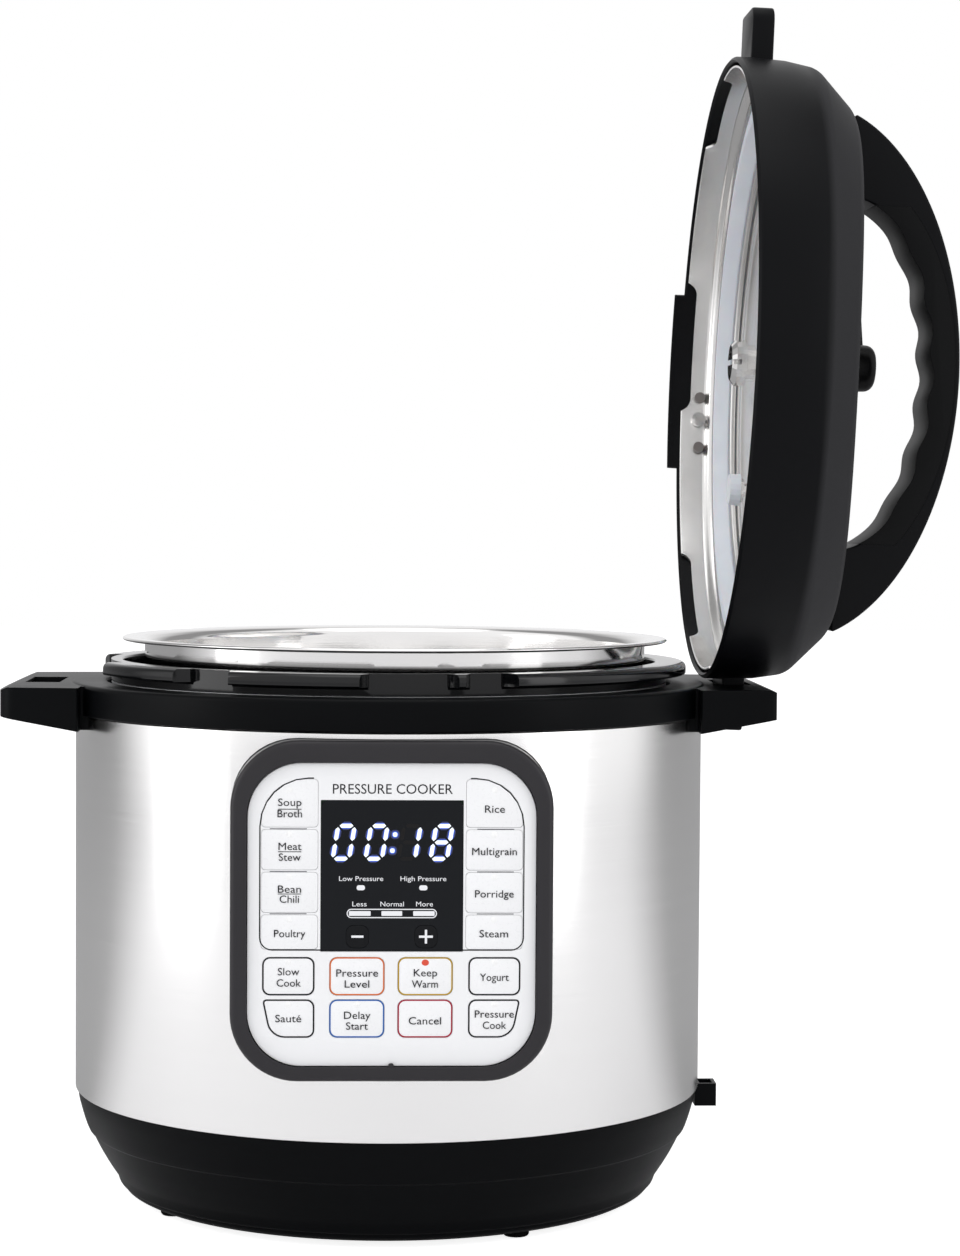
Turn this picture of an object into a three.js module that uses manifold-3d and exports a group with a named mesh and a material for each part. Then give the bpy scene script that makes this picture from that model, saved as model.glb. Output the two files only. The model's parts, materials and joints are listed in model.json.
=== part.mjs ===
// Electric pressure cooker with its lid parked upright in the right handle.
// Millimetres, +Z up, front (control panel) towards -Y, pot axis on Z.
// The origin is the centre of the bottom plate's underside.
import * as THREE from "three";
import { mergeVertices } from "three/addons/utils/BufferGeometryUtils.js";
import Module from "manifold-3d";

const wasm = await Module();
wasm.setup();

// ---- driving dimensions -------------------------------------------------
const ROUND = 56; // facets round the large turned parts
const HIDDEN = 36; // facets round the turned parts that nothing sees
const FINE = 18; // facets round the small turned parts
const GAP = 0.35; // clearance between pieces that touch

// base
const SHELL_R = 137.5; // steel shell, outside
const SHELL_T = 1.2;
const SHELL_LOW = 45;
const SHELL_HIGH = 209;
const BASE_WALL = 3;
const BASE_EDGE_R = SHELL_R - 24.5; // flat underside ends here
const PLATE_R = SHELL_R - 41.5;
const PLATE_T = 1.5;
const FOOT_R = 5.5;
const FOOT_H = 3;
const FOOT_RING_R = SHELL_R - 32;
const LOOP_DEPTH = 8.5; // spoon holder, out from the base
const LOOP_WIDTH = 12;
const LOOP_HEIGHT = 10;
const LOOP_WALL = 1.6;

// top rim and handles
const RIM_R = SHELL_R + 2.1;
const RIM_TOP = SHELL_HIGH + 13.6;
const HANDLE_TOP = RIM_TOP - 0.6;
const HANDLE_TIP = RIM_R + 30.4;
const HANDLE_TIP_HALF = 59;
const HANDLE_CORNER_X = HANDLE_TIP - 6; // the tip's edge bows out from here
const HANDLE_WALL = 2.4;
const HANDLE_ROOT_HALF = 62;
const HANDLE_NECK_HALF = 50; // where the root's side wall meets the rim
const HANDLE_ROOT_X = SHELL_R - 6;
const HANDLE_FLAT = HANDLE_TIP - 8.5; // the top is flat as far as this, then falls to the tip
const HANDLE_TIP_TOP = HANDLE_TOP - 3.4;
const HANDLE_UNDER_ROOT = HANDLE_TOP - 18.5;
const HANDLE_UNDER_TIP = HANDLE_TOP - 11.6;
const SLOT_IN = RIM_R + 3.6;
const SLOT_OUT = SLOT_IN + 15;
const SLOT_HALF = 19.8;

// locking ring, liner and pot
const LOCK_R = RIM_R - 9;
const LOCK_IN = LOCK_R - 13.6;
const LOCK_NECK = LOCK_R - 8.4;
const LOCK_TOP = RIM_TOP + 9.4;
const LUG_LOW = LOCK_TOP - 5.4;
const LUG_GAPS = [ // direction and width in degrees of each break in the flange
  [-176, 30], [-127, 9], [-87, 14], [-72, 6], [52, 16], [112, 16],
];
const LINER_R = LOCK_IN - 1;
const LINER_T = 1.4;
const POT_R = LINER_R - 6;
const POT_T = 1.2;
const POT_LOW = SHELL_LOW + 39;
const LINER_LOW = POT_LOW - 22;
const POT_TOP = LOCK_TOP + 9.8;
const POT_RIM_R = POT_R + 10;
const POT_SHIFT = 2.4; // the loose pot rests a little off the axis, towards the lid
const POT_BASE_T = 5;
const HEATER_R = POT_R - 12;
const HEATER_T = 14;
const SENSOR_R = 11;

// control panel
const BEZEL_W = 128.4;
const BEZEL_H = 136;
const BEZEL_CORNER = 27;
const PANEL_Z = SHELL_HIGH - BEZEL_H / 2 - 2.5; // centre height, with the bezel just under the rim
const BEZEL_FRONT = SHELL_R + 4; // distance of the bezel's front from the pot axis
const BEZEL_BACK = SHELL_R - 19.5;
const FASCIA_W = BEZEL_W - 13.8;
const FASCIA_H = BEZEL_H - 15.2;
const FASCIA_DZ = -1.3; // fascia centre below the panel centre
const FASCIA_CORNER = 21.5;
const FASCIA_FRONT = BEZEL_FRONT - 1.5;
const FASCIA_T = 2.2;
const KEY_PROUD = 0.35;
const KEY_T = 1.2;
const KEY_GAP = 0.5;
const WINDOW_W = 56.4;
const WINDOW_H = 60.1;
const WINDOW_DZ = 14.2; // window centre above the panel centre

// lid
const LID_TILT = 2.1; // degrees, top leans outward
const LID_YAW = 0.5;
const LID_R = RIM_R - 3.2;
const LID_CENTRE = [SLOT_IN - 0.7, 0, HANDLE_TOP + LID_R + 1.9]; // middle of the rim circle
const LID_WALL = 2.4;
const DRUM_H = 32;
const CROWN_R = LID_R - 20.9;
const CROWN_H = DRUM_H + 17;
const SADDLE = 0.08;
const FIN_LOW = 8;
const FIN_HIGH = 17.6;
const FIN_TIP = LID_R + 21.6;
const FIN_HALF = SLOT_HALF - 1.8;
const ARCH_MID = CROWN_H - 13.6;
const ARCH_A = CROWN_R + 2.5;
const ARCH_B = 71;
const ARCH_IN_A = ARCH_A - 41;
const ARCH_IN_B = 39.5;
const GRIP_HALF_SPAN = ARCH_IN_A - 3;
const GRIP_T = 10.4;
const ARCH_FLOOR = CROWN_H + 1;
const ARCH_HALF_W = 17;
const VALVE_AT = [-6, 45];
const FLOAT_AT = [52, 40];

// ---- helpers --------------------------------------------------------------
const rad = THREE.MathUtils.degToRad;

function solid(geometry) {
  let g = geometry.clone();
  g.deleteAttribute("normal");
  g.deleteAttribute("uv");
  g = mergeVertices(g, 1e-4);
  const index = g.getIndex();
  const mesh = new wasm.Mesh({
    numProp: 3,
    vertProperties: new Float32Array(g.attributes.position.array),
    triVerts: new Uint32Array(index.array),
  });
  return new wasm.Manifold(mesh);
}

function shape(body) {
  const m = body.getMesh();
  const g = new THREE.BufferGeometry();
  g.setAttribute("position", new THREE.BufferAttribute(new Float32Array(m.vertProperties), 3));
  g.setIndex(new THREE.BufferAttribute(new Uint32Array(m.triVerts), 1));
  g.computeVertexNormals();
  return g;
}

// A turned solid about Z: points are [radius, height], from inside to outside and back.
function turned(points, facets = ROUND) {
  const profile = points.map(([r, z]) => new THREE.Vector2(r, z));
  const g = new THREE.LatheGeometry(profile, facets);
  g.rotateX(Math.PI / 2);
  return g;
}

// A turned ring whose profile closes on itself.
function turnedRing(points, facets = ROUND) {
  return turned([...points, points[0]], facets);
}

function disc(radius, low, high, facets = FINE) {
  return turned([[0, low], [radius, low], [radius, high], [0, high]], facets);
}

function box(low, high) {
  const size = high.map((v, i) => v - low[i]);
  const g = new THREE.BoxGeometry(...size);
  g.translate(...low.map((v, i) => v + size[i] / 2));
  return g;
}

function outline(points) {
  return new THREE.Shape(points.map(([x, y]) => new THREE.Vector2(x, y)));
}

function extruded(flat, depth, curveSegments = 6) {
  return new THREE.ExtrudeGeometry(flat, { depth, bevelEnabled: false, curveSegments });
}

function roundedRect(width, height, corner, dx = 0, dy = 0) {
  const s = new THREE.Shape();
  const x = dx - width / 2;
  const y = dy - height / 2;
  const r = Math.min(corner, width / 2 - 0.01, height / 2 - 0.01);
  s.moveTo(x + r, y);
  s.lineTo(x + width - r, y);
  s.absarc(x + width - r, y + r, r, -Math.PI / 2, 0);
  s.lineTo(x + width, y + height - r);
  s.absarc(x + width - r, y + height - r, r, 0, Math.PI / 2);
  s.lineTo(x + r, y + height);
  s.absarc(x + r, y + height - r, r, Math.PI / 2, Math.PI);
  s.lineTo(x, y + r);
  s.absarc(x + r, y + r, r, Math.PI, 1.5 * Math.PI);
  return s;
}

// An upright plate in the panel's plane: drawn in X and height, from front to back along Y.
function panelPlate(flat, front, thickness, curveSegments = 6) {
  const g = extruded(flat, thickness, curveSegments);
  g.rotateX(Math.PI / 2);
  g.translate(0, -front + thickness, PANEL_Z);
  return g;
}

function cut(first, ...others) {
  return shape(others.reduce((body, g) => body.subtract(solid(g)), solid(first)));
}

function joined(first, ...others) {
  return shape(others.reduce((body, g) => body.add(solid(g)), solid(first)));
}

function common(first, second) {
  return shape(solid(first).intersect(solid(second)));
}

// ---- materials -----------------------------------------------------------
function finish(color, roughness, metalness) {
  return new THREE.MeshStandardMaterial({ color, roughness, metalness });
}

const black = finish(0x17181b, 0.42, 0);
const glossBlack = finish(0x0c0d10, 0.15, 0);
const steel = finish(0xc9c7c4, 0.3, 1);
const polished = finish(0xe2e0de, 0.12, 1);
const aluminium = finish(0xb5b7ba, 0.4, 1);
const silver = finish(0xe5e6ea, 0.35, 0.1);
const darkGrey = finish(0x2d2c31, 0.4, 0);
const windowBlack = finish(0x08090c, 0.1, 0);
const boardGreen = finish(0x1d5a35, 0.6, 0);
const silicone = finish(0xdfe4ea, 0.45, 0);
const rubber = finish(0x1b1b1b, 0.9, 0);
const keyWhite = finish(0xf0f0f3, 0.4, 0);
const translucent = finish(0xcfd6da, 0.3, 0);

const cooker = new THREE.Group();
const lid = new THREE.Group();
cooker.add(lid);

function add(group, name, geometry, material) {
  const mesh = new THREE.Mesh(geometry, material);
  mesh.name = name;
  group.add(mesh);
  return mesh;
}

// ---- cooker base -----------------------------------------------------------
// Outside of the base, from its flat underside up to the shell.
const BASE_OUTSIDE = [
  [BASE_EDGE_R, 0], [SHELL_R - 21, 2.6], [SHELL_R - 19.2, 6], [SHELL_R - 12.5, SHELL_LOW - 28.5],
  [SHELL_R - 6.8, SHELL_LOW - 18], [SHELL_R - 5.3, SHELL_LOW - 16.4], [SHELL_R - 2, SHELL_LOW - 6],
  [SHELL_R - 1, SHELL_LOW - GAP],
];

function panelCut(front, back, margin) {
  const flat = roundedRect(BEZEL_W + 2 * margin, BEZEL_H + 2 * margin, BEZEL_CORNER + margin);
  return panelPlate(flat, front, front - back, 8);
}

function baseHousing() {
  const seat = PLATE_R + GAP;
  const lip = SHELL_LOW - GAP;
  const body = turnedRing([
    [seat, 0], ...BASE_OUTSIDE, [SHELL_R - SHELL_T - GAP - 3, lip],
    [SHELL_R - 11, SHELL_LOW - 18], [BASE_EDGE_R, BASE_WALL], [seat - 3, BASE_WALL],
    [seat - 3, PLATE_T + GAP], [seat, PLATE_T + GAP],
  ]);
  return cut(body, panelCut(SHELL_R + 22.5, SHELL_R - 37.5, GAP), inletCut());
}

const INLET_Z = 25;
const INLET_W = 27;
const INLET_H = 19.5;

function inletCut() {
  return box([-INLET_W / 2 - GAP, SHELL_R - 37.5, INLET_Z - INLET_H / 2 - GAP],
    [INLET_W / 2 + GAP, SHELL_R + 22.5, INLET_Z + INLET_H / 2 + GAP]);
}

function powerInlet() {
  const back = SHELL_R - 25.5;
  const front = SHELL_R - 6.5;
  const body = box([-INLET_W / 2, back, INLET_Z - INLET_H / 2], [INLET_W / 2, front, INLET_Z + INLET_H / 2]);
  const socket = roundedRect(INLET_W - 4, INLET_H - 4, 5);
  const hollow = extruded(socket, 30);
  hollow.rotateX(Math.PI / 2);
  hollow.translate(0, front + 15, INLET_Z);
  const pin = (x) => box([x - 1, back + 2, INLET_Z - 2.2], [x + 1, front - 5, INLET_Z + 2.2]);
  const pins = [-7, 0, 7].map(pin);
  return joined(cut(body, hollow), ...pins);
}

function steelShell() {
  const body = turnedRing([
    [SHELL_R - SHELL_T, SHELL_LOW], [SHELL_R, SHELL_LOW],
    [SHELL_R, SHELL_HIGH], [SHELL_R - SHELL_T, SHELL_HIGH],
  ]);
  return cut(body, panelCut(SHELL_R + 22.5, SHELL_R - 37.5, GAP));
}

function spoonHolder() {
  const low = SHELL_LOW - GAP - 1 - LOOP_HEIGHT;
  const high = SHELL_LOW - GAP - 1;
  const out = SHELL_R + LOOP_DEPTH;
  const block = box([SHELL_R - 1, -LOOP_WIDTH / 2, low], [out, LOOP_WIDTH / 2, high]);
  const way = box([SHELL_R + 1.2, -LOOP_WIDTH / 2 + LOOP_WALL, low - 1],
    [out - LOOP_WALL, LOOP_WIDTH / 2 - LOOP_WALL, high + 1]);
  const inner = disc(SHELL_R - 0.6, low - 2, high + 2);
  return cut(block, way, inner);
}

function feet() {
  const names = { foot_front_right: 300, foot_rear_right: 30, foot_rear_left: 120, foot_front_left: 210 };
  for (const [name, angle] of Object.entries(names)) {
    const g = turned([[0, -FOOT_H], [FOOT_R - 0.6, -FOOT_H], [FOOT_R, -FOOT_H + 0.7],
      [FOOT_R, -GAP], [0, -GAP]], 16);
    g.translate(FOOT_RING_R * Math.cos(rad(angle)), FOOT_RING_R * Math.sin(rad(angle)), 0);
    add(cooker, name, g, rubber);
  }
}

// ---- top ring, handles -------------------------------------------------------
function handlePlan(inset = 0) {
  const tip = HANDLE_TIP - inset;
  const side = HANDLE_CORNER_X - inset;
  const half = HANDLE_TIP_HALF - inset;
  const root = HANDLE_ROOT_HALF - inset;
  const neck = HANDLE_NECK_HALF - inset;
  const corner = 5;
  const s = new THREE.Shape();
  s.moveTo(HANDLE_ROOT_X - 24, -neck);
  s.lineTo(HANDLE_ROOT_X + inset, -neck);
  s.lineTo(HANDLE_ROOT_X + inset, -root);
  s.lineTo(side - corner, -half);
  s.quadraticCurveTo(side, -half, side + 0.5, -half + corner);
  s.quadraticCurveTo(2 * tip - side - 0.5, 0, side + 0.5, half - corner);
  s.quadraticCurveTo(side, half, side - corner, half);
  s.lineTo(HANDLE_ROOT_X + inset, root);
  s.lineTo(HANDLE_ROOT_X + inset, neck);
  s.lineTo(HANDLE_ROOT_X - 24, neck);
  return s;
}

// Side view of a handle: flat top with a chamfered tip and a rising underside.
function handleSide() {
  return outline([
    [HANDLE_ROOT_X - 26, HANDLE_UNDER_ROOT], [HANDLE_ROOT_X, HANDLE_UNDER_ROOT],
    [HANDLE_TIP + 1, HANDLE_UNDER_TIP], [HANDLE_TIP + 1, HANDLE_TIP_TOP], [HANDLE_FLAT, HANDLE_TOP],
    [HANDLE_ROOT_X - 26, HANDLE_TOP],
  ]);
}

function handleSolid(low, high, inset) {
  const plan = extruded(handlePlan(inset), high - low, 5);
  plan.translate(0, 0, low);
  const side = extruded(handleSide(), 160);
  side.rotateX(Math.PI / 2);
  side.translate(0, 80, 0);
  return common(plan, side);
}

function handleHollow(inset) {
  const g = extruded(handlePlan(inset), LINER_SPLIT - HANDLE_UNDER_ROOT + 2, 5);
  g.translate(0, 0, HANDLE_UNDER_ROOT - 2);
  return g;
}

function slotCut(margin) {
  return box([SLOT_IN - margin, -SLOT_HALF - margin, HANDLE_TOP - 32],
    [SLOT_OUT + margin, SLOT_HALF + margin, HANDLE_TOP + 18]);
}

const LINER_SPLIT = HANDLE_TOP - 6; // the handle is hollow up to here and closed from below by a liner

function mirrored(geometry) {
  const g = geometry.clone();
  g.rotateZ(Math.PI);
  return g;
}

function topRing() {
  const inner = LOCK_IN + 6.4;
  const ring = turnedRing([
    [SHELL_R - SHELL_T - GAP - 3, SHELL_HIGH - 8], [SHELL_R - SHELL_T - GAP, SHELL_HIGH - 8],
    [SHELL_R - SHELL_T - GAP, SHELL_HIGH + GAP], [RIM_R, SHELL_HIGH + GAP], [RIM_R, RIM_TOP - 2.2],
    [RIM_R - 0.7, RIM_TOP - 0.7], [RIM_R - 2.2, RIM_TOP], [inner, RIM_TOP],
    [inner, RIM_TOP - 3], [SHELL_R - SHELL_T - GAP - 3, RIM_TOP - 3],
  ]);
  const handle = handleSolid(HANDLE_UNDER_ROOT - 1, HANDLE_TOP, 0);
  const core = disc(SHELL_R - SHELL_T - GAP - 2.5, HANDLE_TOP - 32, HANDLE_TOP + 18, ROUND);
  const sleeve = disc(SHELL_R + GAP, HANDLE_TOP - 32, SHELL_HIGH + GAP, ROUND);
  const hollow = cut(handleHollow(HANDLE_WALL), disc(RIM_R, HANDLE_TOP - 32, HANDLE_TOP + 18, ROUND));
  const trimmed = cut(handle, core, sleeve, hollow, slotCut(0));
  return cut(joined(ring, trimmed, mirrored(trimmed)), panelCut(SHELL_R + 22.5, SHELL_R - 37.5, GAP));
}

function handleLiner() {
  const plug = handleSolid(HANDLE_UNDER_ROOT - 1, LINER_SPLIT - GAP, 0);
  const body = common(handleHollow(HANDLE_WALL + GAP), plug);
  const shell = disc(RIM_R + GAP, HANDLE_TOP - 42, HANDLE_TOP + 18, ROUND);
  return cut(body, shell, slotCut(0));
}

// ---- locking ring, liner and pot -----------------------------------------------
function lockingRing() {
  const low = RIM_TOP + GAP;
  const neck = LOCK_NECK;
  const ring = turnedRing([
    [LOCK_IN, low], [neck, low], [neck, LUG_LOW], [neck, LOCK_TOP - 1.2],
    [neck - 1.2, LOCK_TOP], [LOCK_IN + 1, LOCK_TOP], [LOCK_IN, LOCK_TOP - 1],
  ]);
  const flange = turnedRing([
    [neck - 3, LUG_LOW], [LOCK_R, LUG_LOW], [LOCK_R, LOCK_TOP - 1.4],
    [LOCK_R - 1.3, LOCK_TOP], [neck - 3, LOCK_TOP],
  ]);
  const gaps = [];
  for (const [direction, width] of LUG_GAPS) {
    const half = Math.tan(rad(width / 2)) * LOCK_R;
    const g = box([neck - 6, -half, LUG_LOW - 1], [LOCK_R + 4, half, LOCK_TOP + 1]);
    g.rotateZ(rad(direction));
    gaps.push(g);
  }
  return joined(ring, cut(flange, ...gaps));
}

function outerPot() {
  const r = LINER_R - GAP;
  return turnedRing([
    [SENSOR_R + 10, LINER_LOW], [r - 8, LINER_LOW], [r, LINER_LOW + 8], [r, RIM_TOP - 6],
    [LOCK_IN + 5.4, RIM_TOP - 6], [LOCK_IN + 5.4, RIM_TOP], [r - LINER_T, RIM_TOP],
    [r - LINER_T, LINER_LOW + 8.6], [r - 8.6, LINER_LOW + LINER_T], [SENSOR_R + 10, LINER_LOW + LINER_T],
  ], HIDDEN);
}

function innerPot() {
  const rimR = POT_RIM_R;
  return turned([
    [0, POT_LOW], [POT_R - 7, POT_LOW], [POT_R - 1.6, POT_LOW + 3],
    [POT_R, POT_LOW + 8], [POT_R, POT_TOP - 3.2], [POT_R + 1.2, POT_TOP - 1.9], [rimR - 0.7, POT_TOP - 1.5],
    [rimR, POT_TOP - 0.8], [rimR - 0.7, POT_TOP], [POT_R + 1.2, POT_TOP - 0.5], [POT_R - POT_T, POT_TOP - 3.2],
    [POT_R - POT_T, POT_LOW + 9], [POT_R - 7, POT_LOW + POT_BASE_T],
    [0, POT_LOW + POT_BASE_T],
  ]);
}

function heatingPlate() {
  const top = POT_LOW - GAP;
  const bore = SENSOR_R + 2;
  return turnedRing([
    [bore, top - HEATER_T], [HEATER_R - 6, top - HEATER_T], [HEATER_R, top - HEATER_T + 6],
    [HEATER_R, top], [bore, top],
  ], HIDDEN);
}

function sensor() {
  const top = POT_LOW - GAP;
  const cupTop = top - HEATER_T - 3;
  add(cooker, "sensor_cap", turned([[0, top - 6], [SENSOR_R - 3, top - 6], [SENSOR_R - 3, top - 8],
    [SENSOR_R, top - 8], [SENSOR_R, top - 0.8], [SENSOR_R - 0.8, top], [0, top]], FINE), aluminium);
  const spring = turnedRing([[6, cupTop - 8], [7.6, cupTop - 8], [7.6, top - 8 - GAP], [6, top - 8 - GAP]], FINE);
  add(cooker, "sensor_spring", cut(spring, box([4, -0.8, 0], [9, 0.8, 100])), steel);
  add(cooker, "sensor_housing", turned([
    [0, cupTop - 14], [SENSOR_R + 1, cupTop - 14], [SENSOR_R + 1, cupTop + 1], [SENSOR_R - 1, cupTop + 1], [SENSOR_R - 1, cupTop - 8 - GAP], [0, cupTop - 8 - GAP]], FINE), black);
}

// ---- control panel ----------------------------------------------------------------
const SIDE_KEYS = [
  { dz: 43.1, height: 19, corner: 6 }, { dz: 24.6, height: 16, corner: 2 },
  { dz: 7.6, height: 16, corner: 2 }, { dz: -8.2, height: 13.6, corner: 2 },
];
const SIDE_KEY_W = 22.4;
const SIDE_KEY_X = FASCIA_W / 2 - 16.7;
const ROW_Z = [-25.8, -42.7];
const ROW_X = [-40.9, -13.7, 13.4, 40.9];
const ROW_W = [20.6, 21.8, 21.8, 20.6];
const ROW_H = 15.2;
const STEP_KEY_X = 13.6;
const STEP_KEY_Z = -10;
const STEP_KEY_W = 9;

function keyList() {
  const keys = [];
  const left = ["key_soup", "key_meat", "key_bean", "key_poultry"];
  const right = ["key_rice", "key_multigrain", "key_porridge", "key_steam"];
  SIDE_KEYS.forEach(({ dz, height, corner }, i) => {
    keys.push({ name: left[i], x: -SIDE_KEY_X, dz, w: SIDE_KEY_W, h: height, corner });
    keys.push({ name: right[i], x: SIDE_KEY_X, dz, w: SIDE_KEY_W, h: height, corner });
  });
  const rows = [
    ["key_slow_cook", "key_pressure_level", "key_keep_warm", "key_yogurt"],
    ["key_saute", "key_delay", "key_cancel", "key_pressure_cook"],
  ];
  rows.forEach((names, row) => names.forEach((name, i) => {
    keys.push({ name, x: ROW_X[i], dz: ROW_Z[row], w: ROW_W[i], h: ROW_H });
  }));
  keys.push({ name: "key_minus", x: -STEP_KEY_X, dz: STEP_KEY_Z, w: STEP_KEY_W, h: STEP_KEY_W });
  keys.push({ name: "key_plus", x: STEP_KEY_X, dz: STEP_KEY_Z, w: STEP_KEY_W, h: STEP_KEY_W });
  return keys;
}

function keyShape(key, margin) {
  const corner = (key.corner ?? 2) + margin;
  return roundedRect(key.w + 2 * margin, key.h + 2 * margin, corner, key.x, key.dz);
}

function controlPanel() {
  const bezelOuter = roundedRect(BEZEL_W, BEZEL_H, BEZEL_CORNER);
  const front = panelPlate(roundedRect(BEZEL_W - 3, BEZEL_H - 3, BEZEL_CORNER - 1.5), BEZEL_FRONT, 2, 8);
  const back = panelPlate(bezelOuter, BEZEL_FRONT - 1.5, BEZEL_FRONT - 1.5 - BEZEL_BACK, 8);
  const room = roundedRect(FASCIA_W + 2 * GAP, FASCIA_H + 2 * GAP, FASCIA_CORNER + GAP, 0, FASCIA_DZ);
  const hole = panelPlate(room, SHELL_R + 22.5, 60, 8);
  add(cooker, "panel_bezel", cut(joined(front, back), hole), darkGrey);

  const keys = keyList();
  const fasciaFlat = roundedRect(FASCIA_W, FASCIA_H, FASCIA_CORNER, 0, FASCIA_DZ);
  let fascia = solid(panelPlate(fasciaFlat, FASCIA_FRONT, FASCIA_T, 8));
  const windowHole = roundedRect(WINDOW_W + 2 * GAP, WINDOW_H + 2 * GAP, 4, 0, WINDOW_DZ);
  fascia = fascia.subtract(solid(panelPlate(windowHole, FASCIA_FRONT + 20, 60, 3)));
  for (const key of keys.filter((k) => !["key_minus", "key_plus"].includes(k.name))) {
    fascia = fascia.subtract(solid(panelPlate(keyShape(key, KEY_GAP), FASCIA_FRONT + 20, 20 + KEY_T + 0.6, 2)));
  }
  add(cooker, "panel_fascia", shape(fascia), silver);

  let glass = solid(panelPlate(roundedRect(WINDOW_W, WINDOW_H, 4, 0, WINDOW_DZ), FASCIA_FRONT, FASCIA_T, 3));
  for (const key of keys.filter((k) => ["key_minus", "key_plus"].includes(k.name))) {
    glass = glass.subtract(solid(panelPlate(keyShape(key, KEY_GAP), FASCIA_FRONT + 20, 20 + KEY_T + 0.6, 2)));
  }
  add(cooker, "display_window", shape(glass), windowBlack);

  for (const key of keys) {
    const dark = ["key_minus", "key_plus"].includes(key.name);
    const g = panelPlate(keyShape(key, 0), FASCIA_FRONT + KEY_PROUD, KEY_T, 2);
    add(cooker, key.name, g, dark ? windowBlack : keyWhite);
  }

  const board = panelPlate(roundedRect(100, 108, 4), FASCIA_FRONT - FASCIA_T - 1, 1.6, 2);
  const module = panelPlate(roundedRect(50, 26, 1, 0, 24), FASCIA_FRONT - FASCIA_T - 1 - 1.6 - GAP, 5, 1);
  add(cooker, "display_module", module, glossBlack);
  add(cooker, "control_board", board, boardGreen);
}

// ---- inside and rear ------------------------------------------------------------------
function inside() {
  add(cooker, "bottom_plate", disc(PLATE_R, 0, PLATE_T, HIDDEN), steel);
  add(cooker, "power_board", box([-45, -70, 8], [45, 20, 9.6]), boardGreen);
}

const CUP_W = 62;
const CUP_LOW = SHELL_HIGH - 59;
const CUP_HIGH = SHELL_HIGH - 13;
const CUP_DEPTH = 21;

function condensationCollector() {
  const back = SHELL_R + 1;
  const outer = roundedRect(CUP_W, CUP_HIGH - CUP_LOW, 8, 0, (CUP_HIGH + CUP_LOW) / 2);
  const body = extruded(outer, CUP_DEPTH, 3);
  body.rotateX(Math.PI / 2);
  body.translate(0, back + CUP_DEPTH, 0);
  const hollow = box([-CUP_W / 2 + 2, back + 2, CUP_LOW + 2], [CUP_W / 2 - 2, back + CUP_DEPTH - 2, CUP_HIGH + 5]);
  const shellCut = disc(SHELL_R + GAP + 0.2, CUP_LOW - 50, CUP_HIGH + 30, ROUND);
  return cut(body, hollow, shellCut);
}

// ---- lid ------------------------------------------------------------------------------------
// Built as it lies on the pot: local Z up, fins along local X, rear towards local +Y.
// The crown rises towards the two fins and falls towards the front and rear.
function saddle(geometry) {
  const p = geometry.attributes.position;
  for (let i = 0; i < p.count; i += 1) {
    const x = p.getX(i);
    const y = p.getY(i);
    const z = p.getZ(i);
    const r2 = x * x + y * y;
    const swing = r2 > 1 ? (x * x - y * y) / r2 : 0;
    const reach = Math.min(1, Math.sqrt(r2) / CROWN_R);
    if (z > 20) p.setZ(i, z * (1 + SADDLE * swing * reach * reach));
  }
  return geometry;
}

const CROWN_OUT = [
  [LID_R, 1.4], [LID_R, 8], [LID_R - 0.8, 20.5], [LID_R - 2.6, DRUM_H], [LID_R - 4.4, DRUM_H + 1.6],
  [CROWN_R + 1.4, CROWN_H - 0.9], [CROWN_R - 1.6, CROWN_H], [80, CROWN_H + 1.2], [40, CROWN_H + 1.7],
];

function lidFin() {
  const s = new THREE.Shape();
  s.moveTo(LID_R - 10.4, -FIN_HALF);
  s.lineTo(FIN_TIP - 2, -FIN_HALF);
  s.quadraticCurveTo(FIN_TIP, -FIN_HALF, FIN_TIP, -FIN_HALF + 2);
  s.lineTo(FIN_TIP, FIN_HALF - 8);
  s.quadraticCurveTo(FIN_TIP, FIN_HALF, FIN_TIP - 8, FIN_HALF);
  s.lineTo(LID_R - 10.4, FIN_HALF);
  const g = extruded(s, FIN_HIGH - FIN_LOW, 4);
  g.translate(0, 0, FIN_LOW);
  return g;
}

const SKIRT_DEG = 18;
const SKIRT_DROP = 4.6;

function lidShell() {
  const w = LID_WALL;
  const crown = saddle(turned([
    [0, CROWN_H + 1.8 - w], [40, CROWN_H + 1.7 - w], [80, CROWN_H + 1.2 - w], [CROWN_R - 2.2, CROWN_H - w],
    [LID_R - 5.6, DRUM_H + 1.2 - w], [LID_R - 2.6 - w, DRUM_H - 3], [LID_R - w - 0.8, 20.5], [LID_R - w, 1],
    [LID_R - 1.4, 0], ...CROWN_OUT, [0, CROWN_H + 1.8],
  ]));
  const skirt = turnedRing([
    [LID_R - w, 2], [LID_R - w, -SKIRT_DROP], [LID_R - 0.6, -SKIRT_DROP], [LID_R - 0.1, 2],
  ]);
  const wedgeShape = new THREE.Shape();
  wedgeShape.moveTo(0, 0);
  wedgeShape.absarc(0, 0, LID_R + 33.6, rad(90 - SKIRT_DEG), rad(90 + SKIRT_DEG));
  wedgeShape.lineTo(0, 0);
  const wedge = extruded(wedgeShape, 20, 8);
  wedge.translate(0, 0, -12);
  const fin = lidFin();
  const core = disc(LID_R - 1.5, 0, 30, ROUND);
  const finOut = cut(fin, core);
  let body = solid(crown).add(solid(common(skirt, wedge)));
  body = body.add(solid(finOut)).add(solid(mirrored(finOut)));
  for (const at of [VALVE_AT, FLOAT_AT]) {
    const hole = disc(at === VALVE_AT ? 6.4 : 5.2, 20, 70);
    hole.translate(at[0], at[1], 0);
    body = body.subtract(solid(hole));
  }
  return shape(body);
}

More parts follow.
